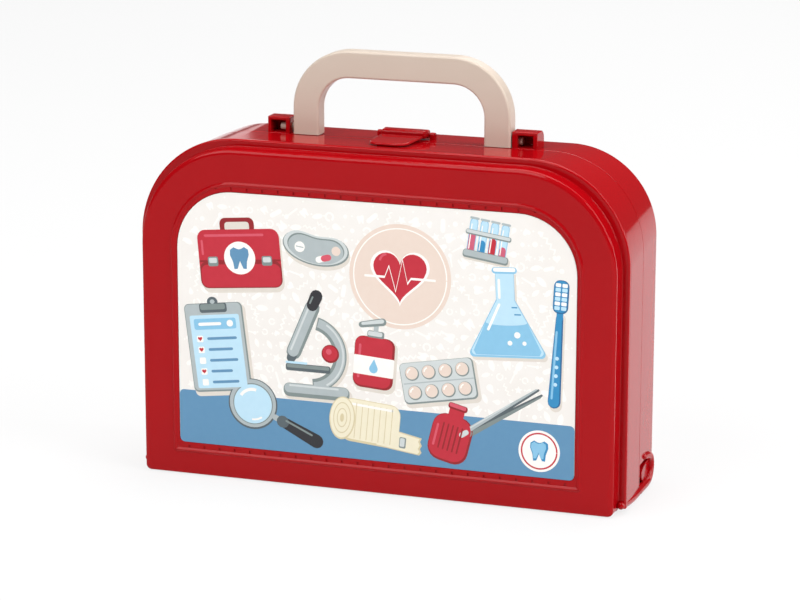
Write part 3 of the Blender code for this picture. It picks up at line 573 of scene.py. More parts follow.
for name, side, inner, outer in (("lug_left", -1, 0.0668, 0.0804), ("lug_right", 1, 0.0662, 0.0811)):
    lug = start_piece(name)
    add_block((side * inner, 0.0053, LUG_BASE), (side * outer, 0.0188, LUG_TOP))
    pick(lambda co: co.y > 0.018 and co.z > LUG_TOP - 0.001)
    bpy.ops.mesh.bevel(offset=0.0050, segments=8, affect="EDGES")
    hollow = start_piece("lug_hollow")
    add_block((side * 0.0695, 0.0045, 0.19615), (side * 0.0785, 0.0169, WINDOW_TOP))
    pick(lambda co: co.y > 0.016 and co.z > WINDOW_TOP - 0.0005)
    bpy.ops.mesh.bevel(offset=0.0034, segments=6, affect="EDGES")
    join_or_cut(lug, hollow, "DIFFERENCE")
    bore = start_piece("lug_bore")
    add_rod(side * 0.0648, side * 0.0700, PIVOT_Y, PIVOT_Z, 0.0025, 32)
    join_or_cut(lug, bore, "DIFFERENCE")
    bpy.ops.object.modifier_add(type="BEVEL")
    rounding = lug.modifiers[-1]
    rounding.width = 0.0009
    rounding.segments = 4
    rounding.limit_method = "ANGLE"
    rounding.angle_limit = math.radians(50)
    bpy.ops.object.modifier_apply(modifier=rounding.name)
    finish_piece(lug, red_plastic, "back_case", 40)

# Latch ears, the two small uprights that carry the latch's pin.
LATCH_Y, LATCH_Z = 0.0173, 0.198155
EAR_RADIUS = 0.0014
EAR_Z = LATCH_Z - 0.0002
ears = start_piece("latch_ears")
for side in (-1, 1):
    inner, outer = side * 0.0142, side * 0.0174
    add_rod(inner, outer, LATCH_Y, EAR_Z, EAR_RADIUS, 32, 0.0005)
    add_block((inner, LATCH_Y - EAR_RADIUS, 0.1940), (outer, LATCH_Y + EAR_RADIUS, EAR_Z))
finish_piece(ears, red_plastic, "back_case")


# Hinge rods and the latch's pin. Drawn rod of the same red plastic, pushed in from the end. They are the
# model's own solids with the moulded finish.

for name in ("hinge_pin_left", "hinge_pin_right", "latch_pin"):
    pin = frame["nodes"][name]
    pin.data.materials.clear()
    pin.data.materials.append(red_plastic)


# Handle. One moulding of beige polypropylene with a satin skin: a bar bent to a U, with its edges rounded,
# and a stub pin at each foot that snaps into its lug.

beige_plastic = moulded_plastic("beige_polypropylene_satin", 0xCCBDAF, 0xC8B9AA, 0.34, 0.36, 0.00003)

HANDLE_HALF = 0.0650
HANDLE_TOP = 0.2456
LEG_WIDTH = 0.0156
HANDLE_SHIFT = 0.0008
HANDLE_FRONT, HANDLE_REAR = 0.0035, 0.0141
HANDLE_BEND = 0.0340
FOOT_Z = PIVOT_Z - 0.0029

handle = start_piece("handle_moulding")
middle = (-HANDLE_HALF + LEG_WIDTH / 2, (HANDLE_FRONT + HANDLE_REAR) / 2, FOOT_Z)
bpy.ops.mesh.primitive_plane_add(size=1, location=middle)
bpy.ops.transform.resize(value=(LEG_WIDTH, HANDLE_REAR - HANDLE_FRONT, 1), center_override=middle)
bpy.ops.mesh.bevel(offset=0.0014, offset_type="ABSOLUTE", segments=6, affect="VERTICES")
bpy.ops.mesh.select_all(action="SELECT")
bend_x = HANDLE_HALF - HANDLE_BEND
bend_z = HANDLE_TOP - HANDLE_BEND
rise = bend_z - FOOT_Z
bpy.ops.mesh.extrude_region_move(TRANSFORM_OT_translate={"value": (0, 0, rise)})
bpy.ops.mesh.spin(steps=24, angle=-math.pi / 2, center=(-bend_x, 0, bend_z), axis=(0, 1, 0))
pick(lambda co: abs(co.x + bend_x) < 1e-5)
bpy.ops.mesh.extrude_region_move(TRANSFORM_OT_translate={"value": (2 * bend_x, 0, 0)})
bpy.ops.mesh.spin(steps=24, angle=-math.pi / 2, center=(bend_x, 0, bend_z), axis=(0, 1, 0))
pick(lambda co: co.x > 0 and abs(co.z - bend_z) < 1e-5)
bpy.ops.mesh.extrude_region_move(TRANSFORM_OT_translate={"value": (0, 0, -rise)})
bpy.ops.mesh.select_all(action="SELECT")
bpy.ops.mesh.remove_doubles(threshold=0.000005)
bpy.ops.mesh.normals_make_consistent(inside=False)
bpy.ops.transform.translate(value=(HANDLE_SHIFT, 0, 0))
for side, reach in ((-1, 0.0741), (1, 0.0712)):
    add_rod(side * 0.0600, side * reach, PIVOT_Y, PIVOT_Z, 0.0022, 32, 0.0003)
finish_piece(handle, beige_plastic, "carry_handle")
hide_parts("handle")


# Latch. A hasp of the same red plastic: a roll that turns on the pin, a thin plate that narrows to a nose
# with round corners, and a hook under the nose that drops into its pocket in the lid.

NOSE_Y, PLATE_REAR = -0.0190, 0.0080
PLATE_LOW, PLATE_TOP = 0.1975, 0.1987
PLATE_HALF, NOSE_HALF, ROLL_HALF = 0.0128, 0.0110, 0.0136

latch = start_piece("latch_moulding")
plate_middle = (0, (NOSE_Y + PLATE_REAR) / 2, PLATE_LOW)
add_rod(-ROLL_HALF, ROLL_HALF, LATCH_Y, LATCH_Z + 0.0002, 0.0025, 32, 0.0008)
bpy.ops.mesh.select_all(action="DESELECT")
bpy.ops.mesh.primitive_plane_add(size=1, location=plate_middle)
bpy.ops.transform.resize(value=(2 * PLATE_HALF, PLATE_REAR - NOSE_Y, 1), center_override=plate_middle)
pick(lambda co: abs(co.z - PLATE_LOW) < 1e-6 and co.y > 0 and abs(co.x) > PLATE_HALF - 0.0001, True)
bpy.ops.transform.translate(value=(0, 0.0001, 0))
bpy.ops.mesh.select_linked()
pick(lambda co: co.y < 0, True)
bpy.ops.transform.resize(value=(NOSE_HALF / PLATE_HALF, 1, 1), center_override=(0, NOSE_Y, PLATE_LOW))
bpy.ops.mesh.bevel(offset=0.0060, offset_type="ABSOLUTE", segments=10, affect="VERTICES")
bpy.ops.mesh.select_linked()
bpy.ops.mesh.extrude_region_move(TRANSFORM_OT_translate={"value": (0, 0, PLATE_TOP - PLATE_LOW)})
pick(lambda co: abs(co.z - PLATE_TOP) < 1e-6)
bpy.ops.mesh.bevel(offset=0.0007, segments=4, affect="EDGES")
add_block((-ROLL_HALF, 0.0102, 0.1964), (ROLL_HALF, 0.0176, 0.2010), 0.0018, 6)
add_block((-0.0060, -0.0170, 0.1958), (0.0060, -0.0150, 0.1980), 0.0002, 2)
bpy.ops.mesh.select_all(action="SELECT")
bpy.ops.mesh.normals_make_consistent(inside=False)
finish_piece(latch, red_plastic, "hasp")
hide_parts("latch")


# Label. A printed and varnished card in the seat on the lid. Its ground is cream with faint cloudy tints.

card, card_tree, card_shader, card_place = start_material("printed_card_cream", 0xF1ECE6, 0.38, 1.5, 0.4)
tints = add_node(card_tree, "ShaderNodeTexNoise", {"Scale": 60.0, "Detail": 4.0}, {"Vector": card_place})
ground = add_node(card_tree, "ShaderNodeMix", {"data_type": "RGBA"}, {"Factor": tints.outputs["Fac"]})
ground.inputs[6].default_value = linear(0xF3F0EC)
ground.inputs[7].default_value = linear(0xECE7E1)
card_tree.links.new(ground.outputs[2], card_shader.inputs["Base Color"])
label = frame["nodes"]["front_label"]
label.data.materials.clear()
label.data.materials.append(card)


# Ground figures of the label. Small white figures in opaque offset ink, scattered close over the cream
# ground: capsules, drops, rings, stars, teeth, leaves, waves and dots. Varnish covers the finished print.

PRINT_Y = -0.0406
PRINT_STEP = 0.000015


def offset_ink(name, colour, shade):
    """Offset ink under varnish. It lies a little unevenly, in cloudy patches of about 4 mm, and the card's
    fibres, drawn at 0.5 mm, show in the varnish."""
    material, tree, shader, coordinates = start_material("offset_ink_" + name, colour, 0.34, 1.5, 0.45)
    patches = add_node(tree, "ShaderNodeTexNoise", {"Scale": 250.0, "Detail": 3.0}, {"Vector": coordinates})
    tint = add_node(tree, "ShaderNodeMix", {"data_type": "RGBA"}, {"Factor": patches.outputs["Fac"]})
    tint.inputs[6].default_value = linear(colour)
    tint.inputs[7].default_value = linear(shade)
    tree.links.new(tint.outputs[2], shader.inputs["Base Color"])
    fibres = add_node(tree, "ShaderNodeTexNoise", {"Scale": 2000.0, "Detail": 2.0}, {"Vector": coordinates})
    bump = add_node(tree, "ShaderNodeBump", {"Strength": 0.5, "Distance": 0.000004},
                    {"Height": fibres.outputs["Fac"]})
    tree.links.new(bump.outputs["Normal"], shader.inputs["Normal"])
    return material


inks = {name: offset_ink(name, colour, shade) for name, colour, shade in (
    ("white", 0xFDFBF7, 0xF8F4EE), ("shadow", 0xE2DBD1, 0xDAD2C8), ("band", 0x5A8DB3, 0x6092B6),
    ("beige", 0xEAD8CC, 0xE6D2C4), ("red", 0xC52438, 0xBC1E31), ("dark_red", 0x96141F, 0x8D111B),
    ("light_red", 0xD8586A, 0xD24E60), ("grey", 0xB4BEC0, 0xA9B3B5), ("light_grey", 0xD3D9D9, 0xCAD1D1),
    ("mid_grey", 0x84918F, 0x7B8887), ("dark_grey", 0x59656A, 0x515C61), ("black", 0x25252A, 0x2E2E33),
    ("sky", 0xC2E4F5, 0xB8DDF0), ("pool", 0x8CC6E6, 0x82BEDF), ("blue", 0x2F8EC3, 0x2985B9),
    ("dark_blue", 0x1F6696, 0x1B5F8D), ("rose", 0xD0607A, 0xCA5872), ("cream", 0xF2EBD3, 0xECE4C8),
    ("straw", 0xDCCFA8, 0xD4C69D))}


def oval(x, z, wide, high, steps=28):
    """An oval's outline, in millimetres."""
    turns = [2 * math.pi * step / steps for step in range(steps)]
    return [(x + wide / 2 * math.cos(turn), z + high / 2 * math.sin(turn)) for turn in turns]


def round_box(x, z, wide, high, corner, steps=5):
    """The outline of a box with round corners."""
    points = []
    for number, (side, end) in enumerate(((1, 1), (-1, 1), (-1, -1), (1, -1))):
        for step in range(steps + 1):
            turn = math.radians(90 * number + 90 * step / steps)
            points.append((x + side * (wide / 2 - corner) + corner * math.cos(turn),
                           z + end * (high / 2 - corner) + corner * math.sin(turn)))
    return points


def bar(x_start, z_start, x_end, z_end, width, end_width=None, steps=6):
    """The outline of a bar with round ends, as wide as is given at each end."""
    heading = math.atan2(z_end - z_start, x_end - x_start)
    points = []
    ends = ((x_end, z_end, (end_width or width) / 2, -90), (x_start, z_start, width / 2, 90))
    for x, z, radius, first in ends:
        for step in range(steps + 1):
            turn = heading + math.radians(first + 180 * step / steps)
            points.append((x + radius * math.cos(turn), z + radius * math.sin(turn)))
    return points


def bow(x, z, radius, width, start, end, steps=20):
    """The outline of a part of a ring, between two angles in degrees."""
    turns = [math.radians(start + (end - start) * step / steps) for step in range(steps + 1)]
    outside, inside = radius + width / 2, radius - width / 2
    outer = [(x + outside * math.cos(turn), z + outside * math.sin(turn)) for turn in turns]
    inner = [(x + inside * math.cos(turn), z + inside * math.sin(turn)) for turn in turns]
    return outer + inner[::-1]


def heart(x, z, size, steps=26):
    """A heart's outline."""
    turns = [2 * math.pi * step / steps for step in range(steps)]
    return [(x + size / 32 * 16 * math.sin(turn) ** 3,
             z + size / 32 * (13 * math.cos(turn) - 5 * math.cos(2 * turn) - 2 * math.cos(3 * turn)
                              - math.cos(4 * turn)))
            for turn in turns]


def placed(points, x, z, angle=0.0, size=1.0):
    """An outline turned by degrees and moved to its place."""
    cosine, sine = size * math.cos(math.radians(angle)), size * math.sin(math.radians(angle))
    return [(x + cosine * a - sine * b, z + sine * a + cosine * b) for a, b in points]


printed = []


def print_shape(points, layer, ink):
    """One printed shape in the open piece: a circle set to the outline, and raised as high as its layer, with
    a trace more for each next one, so that no two of one layer lie in the same plane."""
    piece = bpy.context.object
    if inks[ink].name not in piece.data.materials:
        piece.data.materials.append(inks[ink])
    bpy.ops.mesh.select_all(action="DESELECT")
    bpy.ops.mesh.primitive_circle_add(vertices=len(points), fill_type="NGON")
    mesh = bmesh.from_edit_mesh(piece.data)
    mesh.verts.ensure_lookup_table()
    mesh.faces.ensure_lookup_table()
    for vertex, (x, z) in zip(mesh.verts[-len(points):], points):
        vertex.co = (x / 1000, PRINT_Y + PRINT_STEP, z / 1000)
    mesh.faces[-1].material_index = piece.data.materials.find(inks[ink].name)
    mesh.faces[-1].normal_update()
    printed.append(ink)
    rise = PRINT_STEP * (layer + 2) + 0.0000018 * (len(printed) % 8)
    bpy.ops.mesh.extrude_region_move(TRANSFORM_OT_translate={"value": (0, -rise, 0)})


def print_figure(name, x, z, angle, shapes):
    """A printed figure made of shapes, each an outline, a layer and an ink, turned and put in its place."""
    piece = start_piece(name)
    for points, layer, ink in shapes:
        print_shape(placed(points, x, z, angle), layer, ink)
    finish_print(piece)


def finish_print(piece):
    """Let a print ride on the lid with the card."""
    bpy.ops.mesh.select_all(action="SELECT")
    bpy.ops.mesh.normals_make_consistent(inside=False)
    bpy.ops.object.mode_set(mode="OBJECT")
    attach(piece, "lid")


def on_card(x, z, margin):
    """Whether a place lies on the card, clear of its edge."""
    half, corner_x, corner_z = 118.3, 84.3, 134.9
    if abs(x) > corner_x and z > corner_z:
        return math.hypot(abs(x) - corner_x, z - corner_z) < 34.0 - margin
    return abs(x) < half - margin and 19.9 + margin < z < 168.9 - margin


tooth = [(0, -0.6), (0.7, -2.4), (1.5, -2.5), (1.7, -0.8), (2.3, 0.8), (2.2, 2.0), (1.3, 2.6), (0.5, 2.2)]
tooth += [(0, 2.1)] + [(-x, z) for x, z in reversed(tooth[1:])]
drop = [(0, 2.8)] + [(1.6 * math.sin(turn), -0.8 - 1.6 * math.cos(turn))
                     for turn in (math.radians(115 - 230 * step / 10) for step in range(11))]
star = [((2.5 if step % 2 == 0 else 1.15) * math.sin(math.radians(36 * step)),
         (2.5 if step % 2 == 0 else 1.15) * math.cos(math.radians(36 * step))) for step in range(10)]
leaf = [(-3.2, 0), (-1.8, 1.1), (0, 1.5), (1.8, 1.1), (3.2, 0), (1.8, -1.1), (0, -1.5), (-1.8, -1.1)]
wave_top = [(-4.5 + 1.5 * step, 1.1 if step % 2 else -0.5) for step in range(7)]
wave = wave_top + [(x, z - 1.0) for x, z in reversed(wave_top)]
small_figures = [[tooth], [drop], [star], [leaf], [wave], [bar(-2.4, 0, 2.4, 0, 2.4, steps=4)],
                 [bow(0, 0, 1.8, 0.9, 0, 330, 12)],
                 [bar(-3.4, 0, 3.4, 0, 0.9, steps=3), oval(-3.4, 0, 2.4, 2.4, 10)],
                 [oval(0, 0, 2.6, 2.6, 12)], [heart(0, 0, 4.2, 16)]]

scatter = random.Random(11)
ground_figures = start_piece("print_ground_figures")
row_step, column_step = 7.0, 8.2
for row in range(17):
    for column in range(30):
        x = -119.0 + column_step * (column + 0.5 * (row % 2)) + scatter.uniform(-1.1, 1.1)
        z = 54.5 + row_step * row + scatter.uniform(-1.0, 1.0)
        angle, size = scatter.uniform(-180, 180), scatter.uniform(0.85, 1.25)
        figure = scatter.choice(small_figures)
        speck = (x + column_step / 2 + scatter.uniform(-0.8, 0.8), z + scatter.uniform(-0.8, 0.8))
        if on_card(x, z, 5.2):
            for points in figure:
                print_shape(placed(points, x, z, angle, size), 0, "white")
        if on_card(*speck, 2.0) and scatter.random() < 0.7:
            print_shape(oval(*speck, 1.1, 1.1, 8), 0, "white")
finish_print(ground_figures)


# Blue foot of the label, a flat band of dull blue ink across the card, and the round panel in beige ink with
# a red heart and its beat.

foot_points = round_box(0, 35.5, 236.4, 31.4, 2.8)
print_figure("print_blue_foot", 0, 0, 0, [(foot_points, 1, "band")])

beat = [(-21, 0), (-9, 0), (-6.5, 6.5), (-2.5, -8), (1.5, 10.5), (4.5, -3), (6.5, 0), (21, 0)]
beat_line = beat + [(x, z - 1.3) for x, z in reversed(beat)]
print_figure("print_round_panel", 16, 128, 0, [
    (oval(0, 0, 60, 60, 64), 1, "beige"),
    (bow(0, 0, 27.4, 0.7, 0, 359, 64), 2, "white"),
    (heart(0, 1.5, 35, 48), 3, "white"),
    (heart(0, 1.6, 31.5, 48), 4, "red"),
    (bow(-7.6, 8.2, 4.2, 1.3, 95, 175, 8), 5, "light_red"),
    (beat_line, 6, "white")])


# First-aid box, printed in reds with a white disc and grey catches.

print_figure("print_first_aid_box", -80, 131, 5, [
    (round_box(1.0, -2.2, 50, 35, 5), 2, "shadow"),
    (round_box(0, 19.2, 21, 9, 3.4), 3, "dark_red"),
    (round_box(0, 18.6, 15, 5.4, 1.8), 4, "shadow"),
    (round_box(0, 0, 50, 34, 5), 4, "red"),
    (round_box(0, -9.2, 50, 15.6, 4.6), 5, "dark_red"),
    (round_box(0, -9.8, 48.6, 13.2, 4.0), 6, "red"),
    (round_box(0, -1.2, 50, 1.1, 0.5), 6, "dark_red"),
    (bar(-20, 13.6, 15, 13.6, 1.5), 5, "light_red"),
    (bar(-22.4, 10.5, -22.4, 3, 1.3), 5, "light_red"),
    (round_box(-16.5, -1.4, 6.2, 5.6, 1.1), 7, "mid_grey"),
    (round_box(-16.5, -0.8, 4.8, 3.0, 0.8), 8, "light_grey"),
    (round_box(16.5, -1.4, 6.2, 5.6, 1.1), 7, "mid_grey"),
    (round_box(16.5, -0.8, 4.8, 3.0, 0.8), 8, "light_grey"),
    (oval(0, 0.4, 19, 19, 36), 7, "white"),
    (placed(tooth, 0, 0.2, 0, 2.5), 8, "band")])


# Microscope, printed in greys with a black eyepiece and a red wheel.

print_figure("print_microscope", -34, 84, 0, [
    (round_box(1.2, -28.6, 41, 8, 3.6), 2, "shadow"), (bow(-3, -6, 19, 7.5, -75, 80), 2, "shadow"),
    (round_box(0, -27, 40, 8, 3.6), 3, "mid_grey"), (round_box(0, -26, 38.6, 5.4, 2.6), 4, "grey"),
    (bar(-16, -24.4, 13, -24.4, 1.1), 5, "light_grey"),
    (bow(-4, -5, 18.5, 7.6, -84, 76), 4, "mid_grey"), (bow(-4, -5, 19.1, 5.0, -82, 74), 5, "grey"),
    (bow(-4, -5, 20.3, 1.1, -60, 60), 6, "light_grey"),
    (round_box(-5, -13.6, 27, 4.2, 1.2), 6, "dark_grey"),
    (round_box(-5, -12.9, 25.6, 2.0, 0.8), 7, "mid_grey"),
    (round_box(-12, -10.9, 13, 1.3, 0.4), 8, "sky"),
    (bar(-13.6, -4.6, -2.2, 22, 8.8), 6, "mid_grey"), (bar(-14.0, -4.2, -2.8, 22.2, 6.6), 7, "grey"),
    (bar(-15.2, -3.2, -4.6, 21.6, 1.2), 8, "light_grey"),
    (bar(-15.2, -8.3, -14.4, -6.2, 5.4, 6.0), 7, "dark_grey"),
    (bar(-2.2, 23.4, 0.2, 28.8, 6.8, 7.4), 8, "black"), (bar(-3.6, 24.6, -2.0, 28.2, 1.0), 9, "mid_grey"),
    (oval(8.5, -4, 10.6, 10.6), 7, "dark_red"), (oval(8.3, -3.7, 9, 9), 8, "red"),
    (oval(7.6, -2.8, 3.4, 3.4), 9, "light_red")])


# Clipboard, printed as a grey board with a pale blue sheet, its rows ticked in red.

sheet_rows = []
for number in range(5):
    row_z = 5.2 - 6.4 * number
    sheet_rows += [(round_box(-10.4, row_z, 3.8, 3.8, 0.7), 6, "white"),
                   (bar(-5.2, row_z, (11.6, 8.4, 10.8, 6.6, 9.8)[number], row_z, 1.6), 6, "band")]
    if number in (0, 1, 3):
        sheet_rows.append((heart(-10.4, row_z + 0.2, 2.8, 14), 7, "red"))
print_figure("print_clipboard", -94, 78, 7, [
    (round_box(1.2, -2.0, 37, 53, 3), 2, "shadow"),
    (round_box(0, 0, 36, 52, 3), 3, "mid_grey"), (round_box(-0.3, 0.3, 34.6, 50.6, 2.6), 4, "grey"),
    (round_box(0, -2.4, 30.6, 43, 1.2), 5, "sky"),
    (round_box(0, 13.8, 26, 6.4, 1.2), 6, "pool"), (bar(-9.5, 13.8, 3, 13.8, 1.8), 7, "white"),
    (oval(9.2, 13.8, 4, 4, 16), 7, "white"),
    (round_box(0, 23.2, 17, 5.6, 1.6), 6, "dark_grey"),
    (round_box(-0.2, 23.8, 15.4, 3.4, 1.2), 7, "mid_grey"),
    (oval(0, 26.6, 6.6, 6.0, 20), 6, "dark_grey"), (oval(0, 26.8, 3, 2.6, 14), 7, "grey")] + sheet_rows)


# Hand magnifier, printed with a grey ring, a pale blue lens and a black handle, across the blue foot.

print_figure("print_magnifier", -66, 42, -24, [
    (oval(-8, 1.2, 30, 30, 40), 3, "dark_grey"), (oval(-8.2, 1.5, 28.4, 28.4, 40), 4, "grey"),
    (oval(-8, 1.3, 24.4, 24.4, 40), 5, "mid_grey"), (oval(-8, 1.2, 23.2, 23.2, 40), 6, "sky"),
    (bow(-8, 1.2, 8.6, 1.8, 100, 172, 12), 7, "white"), (bow(-8, 1.2, 9.2, 1.1, 290, 330, 10), 7, "white"),
    (bar(7.0, 0.6, 11, 0.5, 3.4), 4, "grey"),
    (bar(12.6, 0.5, 35, 0.0, 6.4, 8.2), 5, "black"), (bar(14, 2.0, 31, 1.9, 1.1), 6, "mid_grey"),
    (bar(12.0, 0.5, 12.6, 0.5, 7.0), 6, "dark_grey")])


# Rolled bandage, printed in cream with its coil, its loose end and a small metal clip.

bandage_lines = [(bar(x, -10.4, x, 10.4, 0.45, steps=3), 6, "straw")
                 for x in (-5.5 + 3.6 * number for number in range(7))]
loose_end = [(8, -12.4), (34, -13.6), (35.2, -11.8), (34.0, -9.8), (35.0, -7.8), (33.8, -5.6),
             (34.6, -3.4), (16, -1.2)]
loose_light = [(8, -11.8), (32.8, -13.0), (33.8, -11.6), (32.8, -9.8), (33.8, -7.8), (32.6, -5.6),
               (33.4, -4.0), (16, -1.8)]
print_figure("print_bandage_roll", -5, 42, -5, [
    (loose_end, 4, "straw"), (loose_light, 5, "cream"),
    (round_box(3.5, 0, 35, 25.4, 6), 4, "straw"), (round_box(3.7, 0.5, 34, 23.6, 5.6), 5, "cream"),
    (bar(-8, 9.4, 16, 9.4, 1.4), 6, "white"),
    (oval(-13.5, 0, 15.5, 25.4), 7, "straw"), (oval(-13.6, 0.2, 14.2, 23.8), 8, "cream"),
    (oval(-13.6, 0.2, 10.6, 18.4), 9, "straw"), (oval(-13.6, 0.2, 9.6, 17.2), 10, "cream"),
    (oval(-13.6, 0.2, 6.2, 11.4), 11, "straw"), (oval(-13.6, 0.2, 5.2, 10.2), 12, "cream"),
    (oval(-13.6, 0.2, 2.4, 5.0), 13, "straw"),
    (round_box(23.5, -8.0, 4.0, 6.4, 0.9), 6, "mid_grey"),
    (round_box(23.3, -7.8, 2.8, 5.0, 0.7), 7, "light_grey")]
    + bandage_lines)


# Pump bottle, printed in reds with a white panel.

print_figure("print_pump_bottle", 1, 83, -4, [
    (round_box(1.2, -7.6, 25, 31, 5), 2, "shadow"),
    (round_box(0, -6, 24, 30, 5), 3, "dark_red"), (round_box(-0.6, -5.6, 22.4, 28.6, 4.6), 4, "red"),
    (bar(-8.8, -15, -8.8, 3.4, 1.5), 5, "light_red"),
    (round_box(0, -8, 24, 11, 0.6), 5, "white"), (placed(drop, 0, -8.2, 0, 1.6), 6, "pool"),
    (round_box(0, 10.6, 10, 4, 1.2), 4, "mid_grey"), (round_box(-0.4, 10.9, 8.6, 2.6, 0.9), 5, "light_grey"),
    (bar(0, 12, 0, 17, 2.8), 4, "grey"), (bar(-8.8, 15.2, 3.6, 18.4, 3.4, 4.4), 5, "mid_grey"),
    (bar(-8.2, 15.9, 3.2, 18.8, 1.6, 2.4), 6, "light_grey")])


# Kidney dish, printed in greys, with three tablets.

dish = [(20 * math.cos(turn), 10.5 * math.sin(turn) - 4.2 * math.exp(-((math.degrees(turn) - 90) / 32) ** 2))
        for turn in (2 * math.pi * step / 40 for step in range(40))]
print_figure("print_kidney_dish", -34, 141, -8, [
    (placed(dish, 1.0, -2.0), 2, "shadow"), (dish, 3, "mid_grey"),
    (placed(dish, -0.2, 0.5, 0, 0.965), 4, "light_grey"),
    (placed(dish, 0, 0.1, 0, 0.86), 5, "mid_grey"), (placed(dish, 0.1, -0.5, 0, 0.83), 6, "grey"),
    (oval(-9.5, -1.6, 6.2, 6.2, 20), 7, "white"), (bar(-11.6, -1.6, -7.4, -1.6, 0.6, steps=3), 8, "grey"),
    (bar(2.6, -6.6, 8.2, -4.2, 3.6), 7, "white"), (bar(5.6, -5.3, 8.2, -4.2, 3.6), 8, "light_red"),
    (oval(12.2, 0.4, 5.4, 5.4, 20), 7, "beige")])


# Blister pack, printed as grey foil with beige tablets in two rows.

pack = [(round_box(1.1, -1.8, 45, 25, 3), 2, "shadow"), (round_box(0, 0, 44, 24, 3), 3, "mid_grey"),
        (round_box(-0.3, 0.4, 42.8, 22.8, 2.6), 4, "light_grey"), (round_box(0, 0, 42, 0.7, 0.3), 5, "grey")]
for column in range(4):
    for row in (-1, 1):
        x, z = -15 + 10 * column, 5.6 * row
        pack += [(oval(x, z, 8.4, 8.4, 22), 6, "mid_grey"),
                 (oval(x - 0.2, z + 0.3, 7.4, 7.4, 22), 7, "beige"),
                 (bow(x - 0.2, z + 0.2, 2.4, 0.8, 100, 175, 6), 8, "white")]
print_figure("print_blister_pack", 39, 70, 10, pack)


# Conical flask, printed in pale blues with white lights.

flask = [(-5.4, 25), (5.4, 25), (5.4, 9)]
for turn in (math.radians(25 - 115 * step / 6) for step in range(7)):
    flask.append((19.5 + 2.4 * math.cos(turn), -21.6 + 2.4 * math.sin(turn)))
flask += [(-x, z) for x, z in reversed(flask[2:])]
print_figure("print_flask", 78, 111, 3, [
    (placed(flask, 1.2, -1.8), 2, "shadow"), (flask, 3, "pool"), (placed(flask, 0, -0.1, 0, 0.95), 4, "sky"),
    ([(-12.0, -4), (12.0, -4), (19.6, -20.2), (18.4, -22.6), (-18.4, -22.6), (-19.6, -20.2)], 5, "pool"),
    (oval(0, -4, 24, 3.4, 24), 6, "sky"),
    (round_box(0, 25.4, 14.4, 3.6, 1.7), 5, "pool"), (round_box(0, 25.8, 12.8, 2.2, 1.0), 6, "white"),
    (bar(-10.6, -8, -3.8, 6.0, 1.5), 7, "white"), (bar(-3.4, 10, -3.4, 20, 1.4), 7, "white"),
    (oval(6, -11, 3.6, 3.6, 16), 7, "white"), (oval(10, -15.6, 2.4, 2.4, 14), 7, "white"),
    (oval(1.6, -15.6, 2.8, 2.8, 14), 7, "white"),
    (bar(3.6, 4.6, 6.4, 4.6, 0.7, steps=3), 7, "blue"), (bar(5.0, 0.6, 8.4, 0.6, 0.7, steps=3), 7, "blue")])


# Rack of four tubes, printed in greys with rose, blue and red fillings.

rack = [(round_box(1.2, -15.4, 41, 7, 2.4), 2, "shadow"), (round_box(0, -13.6, 40, 7, 2.4), 7, "mid_grey"),
        (round_box(-0.2, -13.0, 38.6, 5.0, 1.9), 8, "grey"), (round_box(0, 5.2, 40, 4.4, 1.8), 7, "mid_grey"),
        (round_box(-0.2, 5.6, 38.8, 2.8, 1.2), 8, "light_grey")]
for number, (filling, level) in enumerate((("rose", 2.5), ("blue", -3.0), ("red", 0.5), ("rose", -5.0))):
    x = -13.8 + 9.2 * number
    rack += [(bar(x, 14, x, -11, 7.0), 3, "pool"), (bar(x, 13.8, x, -11, 5.8), 4, "sky"),
             (bar(x, level, x, -11, 5.8), 5, filling), (bar(x - 1.7, 12, x - 1.7, -9, 0.9), 6, "white"),
             (bar(x - 3.2, 17.4, x + 3.2, 17.4, 1.9), 5, "grey")]
print_figure("print_tube_rack", 67, 152, -8,
             [(placed(points, 0, 0, 0, 0.66), layer, ink) for points, layer, ink in rack])


# Toothbrush, printed in bright blue with white and pale bristles.

brush = [(bar(1.0, -36, 1.2, 14, 7.4, 4.4), 2, "shadow"),
         (bar(0, -34, 0, 14, 7.4, 4.2), 3, "dark_blue"), (bar(-0.3, -34, -0.3, 14, 6.2, 3.2), 4, "blue"),
         (bar(-1.6, -32, -1.2, 6, 1.2), 5, "pool"), (bar(0, 14, 0, 20, 3.8), 4, "blue"),
         (round_box(0, 26, 8.8, 19, 3.6), 4, "dark_blue"), (round_box(-0.2, 26.2, 7.8, 17.8, 3.2), 5, "blue")]
for row in range(6):
    brush += [(round_box(side * 1.9, 19.6 + 2.6 * row, 3.0, 2.1, 0.5), 6, "white" if row % 2 else "sky")
              for side in (-1, 1)]
brush += [(oval(0, -24 + 5 * number, 2.2, 2.2, 12), 5, "sky") for number in range(4)]
print_figure("print_toothbrush", 108, 98, -3, brush)


# Tweezers, printed in greys, half over the blue foot.

print_figure("print_tweezers", 77, 55, 33, [
    (bar(-27, 0.4, 25, 1.6, 4.6, 1.3), 3, "dark_grey"), (bar(-27, -0.4, 25, -1.8, 4.6, 1.3), 3, "dark_grey"),
    (bar(-27, 1.2, 24, 2.4, 3.0, 0.9), 4, "grey"), (bar(-26, -1.4, 24, -2.4, 3.0, 0.9), 4, "mid_grey"),
    (bar(-24, 1.8, 6, 2.5, 0.8), 5, "light_grey"), (bar(-29, 0, -25, 0, 5.4), 5, "mid_grey"),
    (bar(-28.6, 0.6, -25.4, 0.6, 3.0), 6, "light_grey")])


# Hot-water bottle, printed in reds, and the round white seal beside it with a small blue tooth.

